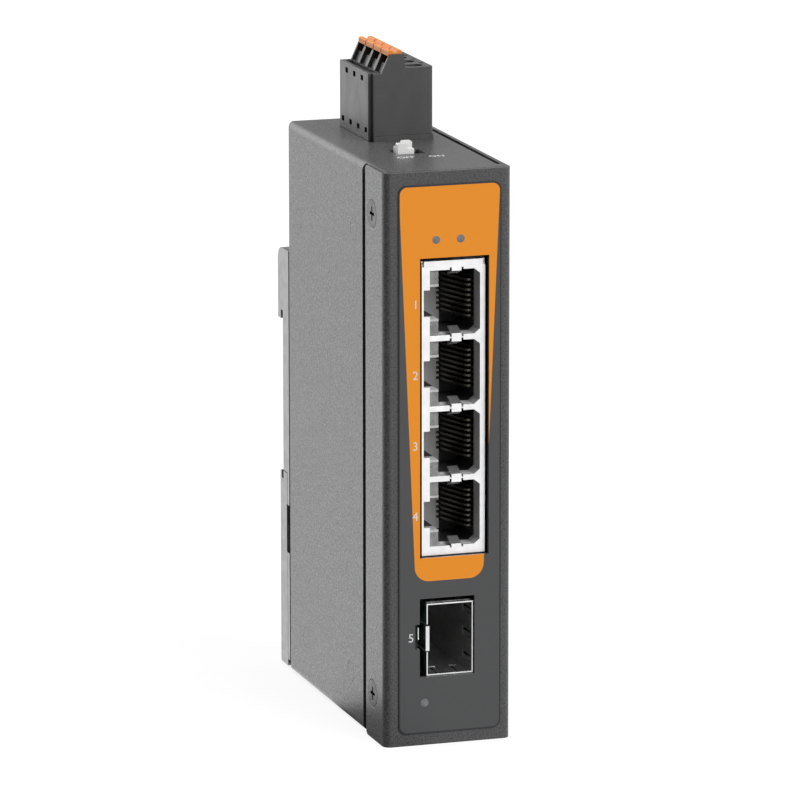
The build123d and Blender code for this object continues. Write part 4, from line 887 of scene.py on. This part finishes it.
def room_light(tree, vector):
    """How much light comes from a direction.

    The flat part of the direction is made a unit vector. For each lobe, what that shares with the
    lobe's own direction is mapped to the lobe's level, and the levels are multiplied.
    """
    vectors = "ShaderNodeVectorMath"
    flat = arithmetic(tree, "MULTIPLY", vector, (1.0, 1.0, 0.0), kind=vectors)
    unit = arithmetic(tree, "NORMALIZE", flat, kind=vectors)
    light = 1.0
    for azimuth, start, end, full in ROOM_LOBES:
        turn = math.radians(azimuth)
        towards = (math.sin(turn), math.cos(turn), 0.0)
        shared = arithmetic(tree, "DOT_PRODUCT", unit, towards, kind=vectors, result="Value")
        lobe = mapped(tree, shared, start, end, 1.0, full, shape="SMOOTHSTEP")
        light = arithmetic(tree, "MULTIPLY", light, lobe)
    return light


def shown(tree, lit, ambient):
    """Full strength for the camera, the lit strength for gloss and glass, and the ambient one else."""
    rays = tree.nodes.new("ShaderNodeLightPath").outputs
    mirrored = arithmetic(tree, "MAXIMUM", rays["Is Glossy Ray"], rays["Is Transmission Ray"])
    room = arithmetic(tree, "MULTIPLY", lit, arithmetic(tree, "MAXIMUM", mirrored, ambient))
    return arithmetic(tree, "MAXIMUM", rays["Is Camera Ray"], room)


class SWITCH_OT_studio(bpy.types.Operator):
    """The pale floor, the soft lights and the camera"""

    bl_idname = "switch.studio"
    bl_label = "Studio"

    def execute(self, context):
        self.floor()
        self.room()
        self.lights()
        self.camera()
        context.scene.view_settings.view_transform = "Standard"
        return {"FINISHED"}

    def floor(self):
        """A flat pale floor just under the object."""
        count = 3
        side = np.linspace(-FLOOR_HALF, FLOOR_HALF, count)
        x, y = np.meshgrid(side, side, indexing="ij")
        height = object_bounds()[0].z - FLOOR_GAP
        points = np.stack((x, y, np.full_like(x, height)), axis=-1).reshape(-1, 3)
        column, row = np.meshgrid(np.arange(count - 1), np.arange(count - 1), indexing="ij")
        here = (column * count + row).ravel()
        faces = np.stack((here, here + count, here + count + 1, here + 1), axis=1)
        mesh = bpy.data.meshes.new("floor")
        mesh.from_pydata(points.tolist(), [], faces.tolist())
        piece = bpy.data.objects.new("floor", mesh)
        bpy.context.scene.collection.objects.link(piece)
        piece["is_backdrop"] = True

        studio = looks().studio
        material = bpy.data.materials.new("pale_floor")
        material.use_nodes = True
        material.cycles.emission_sampling = "NONE"
        tree = material.node_tree
        tree.nodes.clear()
        place = tree.nodes.new("ShaderNodeTexCoord").outputs["Object"]
        glow = tree.nodes.new("ShaderNodeEmission")
        glow.inputs["Color"].default_value = (*(c * (1.0 - studio.shade) for c in studio.floor), 1.0)
        tree.links.new(shown(tree, room_light(tree, place), 0.0), glow.inputs["Strength"])
        matt = tree.nodes.new("ShaderNodeBsdfDiffuse")
        matt.inputs["Color"].default_value = (*(c * studio.shade * MATT_GAIN for c in studio.floor), 1.0)
        both = tree.nodes.new("ShaderNodeAddShader")
        tree.links.new(glow.outputs[0], both.inputs[0])
        tree.links.new(matt.outputs[0], both.inputs[1])
        out = tree.nodes.new("ShaderNodeOutputMaterial")
        tree.links.new(both.outputs[0], out.inputs["Surface"])
        mesh.materials.append(material)

    def room(self):
        """A white room round the object, darker and brighter after its lobes."""
        world = bpy.data.worlds.new("room")
        bpy.context.scene.world = world
        world.use_nodes = True
        world.cycles.sampling_method = "NONE"
        tree = world.node_tree
        direction = tree.nodes.new("ShaderNodeTexCoord").outputs["Generated"]
        strength = shown(tree, room_light(tree, direction), looks().studio.ambient)
        tree.nodes["Background"].inputs["Color"].default_value = (1.0, 1.0, 1.0, 1.0)
        tree.links.new(strength, tree.nodes["Background"].inputs["Strength"])

    def lights(self):
        """Three wide soft lights: the main one from the front right, one overhead and one behind."""
        for name, towards, spread in STUDIO_LIGHTS:
            light = bpy.data.lights.new(name, "SUN")
            light.energy = getattr(looks().studio, name)
            light.angle = math.radians(spread)
            lamp = bpy.data.objects.new(name, light)
            lamp.rotation_mode = "QUATERNION"
            lamp.rotation_quaternion = Vector(towards).to_track_quat("Z", "Y")
            lamp.location = Vector(towards)
            bpy.context.scene.collection.objects.link(lamp)

    def camera(self):
        """The camera stands where the photograph was taken from."""
        studio = looks().studio
        lens = bpy.data.cameras.new("camera")
        lens.lens = studio.lens
        lens.sensor_width = PICTURE_WIDTH
        lens.clip_start, lens.clip_end = NEAR, FAR
        camera = bpy.data.objects.new("camera", lens)
        camera.location = studio.eye
        camera.rotation_mode = "QUATERNION"
        line = Vector(studio.aim) - Vector(studio.eye)
        roll = Quaternion((0.0, 0.0, 1.0), studio.roll)
        camera.rotation_quaternion = line.to_track_quat("-Z", "Y") @ roll
        bpy.context.scene.collection.objects.link(camera)
        bpy.context.scene.camera = camera


OPERATORS = (
    SWITCH_OT_case,
    SWITCH_OT_front_foil,
    SWITCH_OT_jack,
    SWITCH_OT_module_cage,
    SWITCH_OT_terminal,
    SWITCH_OT_selector,
    SWITCH_OT_rail_clip,
    SWITCH_OT_board,
    SWITCH_OT_studio,
)


class SWITCH_PT_panel(bpy.types.Panel):
    """Lists the operators and the sizes and colours they read"""

    bl_idname = "SWITCH_PT_panel"
    bl_label = "Network switch"
    bl_space_type = "VIEW_3D"
    bl_region_type = "UI"
    bl_category = "Switch"

    def draw(self, context):
        for operator in OPERATORS:
            self.layout.operator(operator.bl_idname)
        for group in ("case", "print", "plastic", "metal", "board", "studio"):
            box = self.layout.box()
            held = getattr(looks(), group)
            for name in held.bl_rna.properties.keys():
                if name not in ("rna_type", "name"):
                    box.prop(held, name)


CLASSES = (
    CaseLooks,
    PrintLooks,
    PlasticLooks,
    MetalLooks,
    BoardLooks,
    StudioLooks,
    SwitchLooks,
    *OPERATORS,
    SWITCH_PT_panel,
)


def register():
    """Makes the classes and the scene's own sizes and colours known."""
    for each in CLASSES:
        bpy.utils.register_class(each)
    bpy.types.Scene.switch_looks = bpy.props.PointerProperty(type=SwitchLooks)


def unregister():
    """Takes everything back out."""
    del bpy.types.Scene.switch_looks
    for each in reversed(CLASSES):
        bpy.utils.unregister_class(each)


def main():
    """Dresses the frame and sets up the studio."""
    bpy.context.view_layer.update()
    register()
    bpy.ops.switch.case()
    bpy.ops.switch.front_foil()
    bpy.ops.switch.jack()
    bpy.ops.switch.module_cage()
    bpy.ops.switch.terminal()
    bpy.ops.switch.selector()
    bpy.ops.switch.rail_clip()
    bpy.ops.switch.board()
    bpy.ops.switch.studio()


if __name__ == "__main__":
    main()
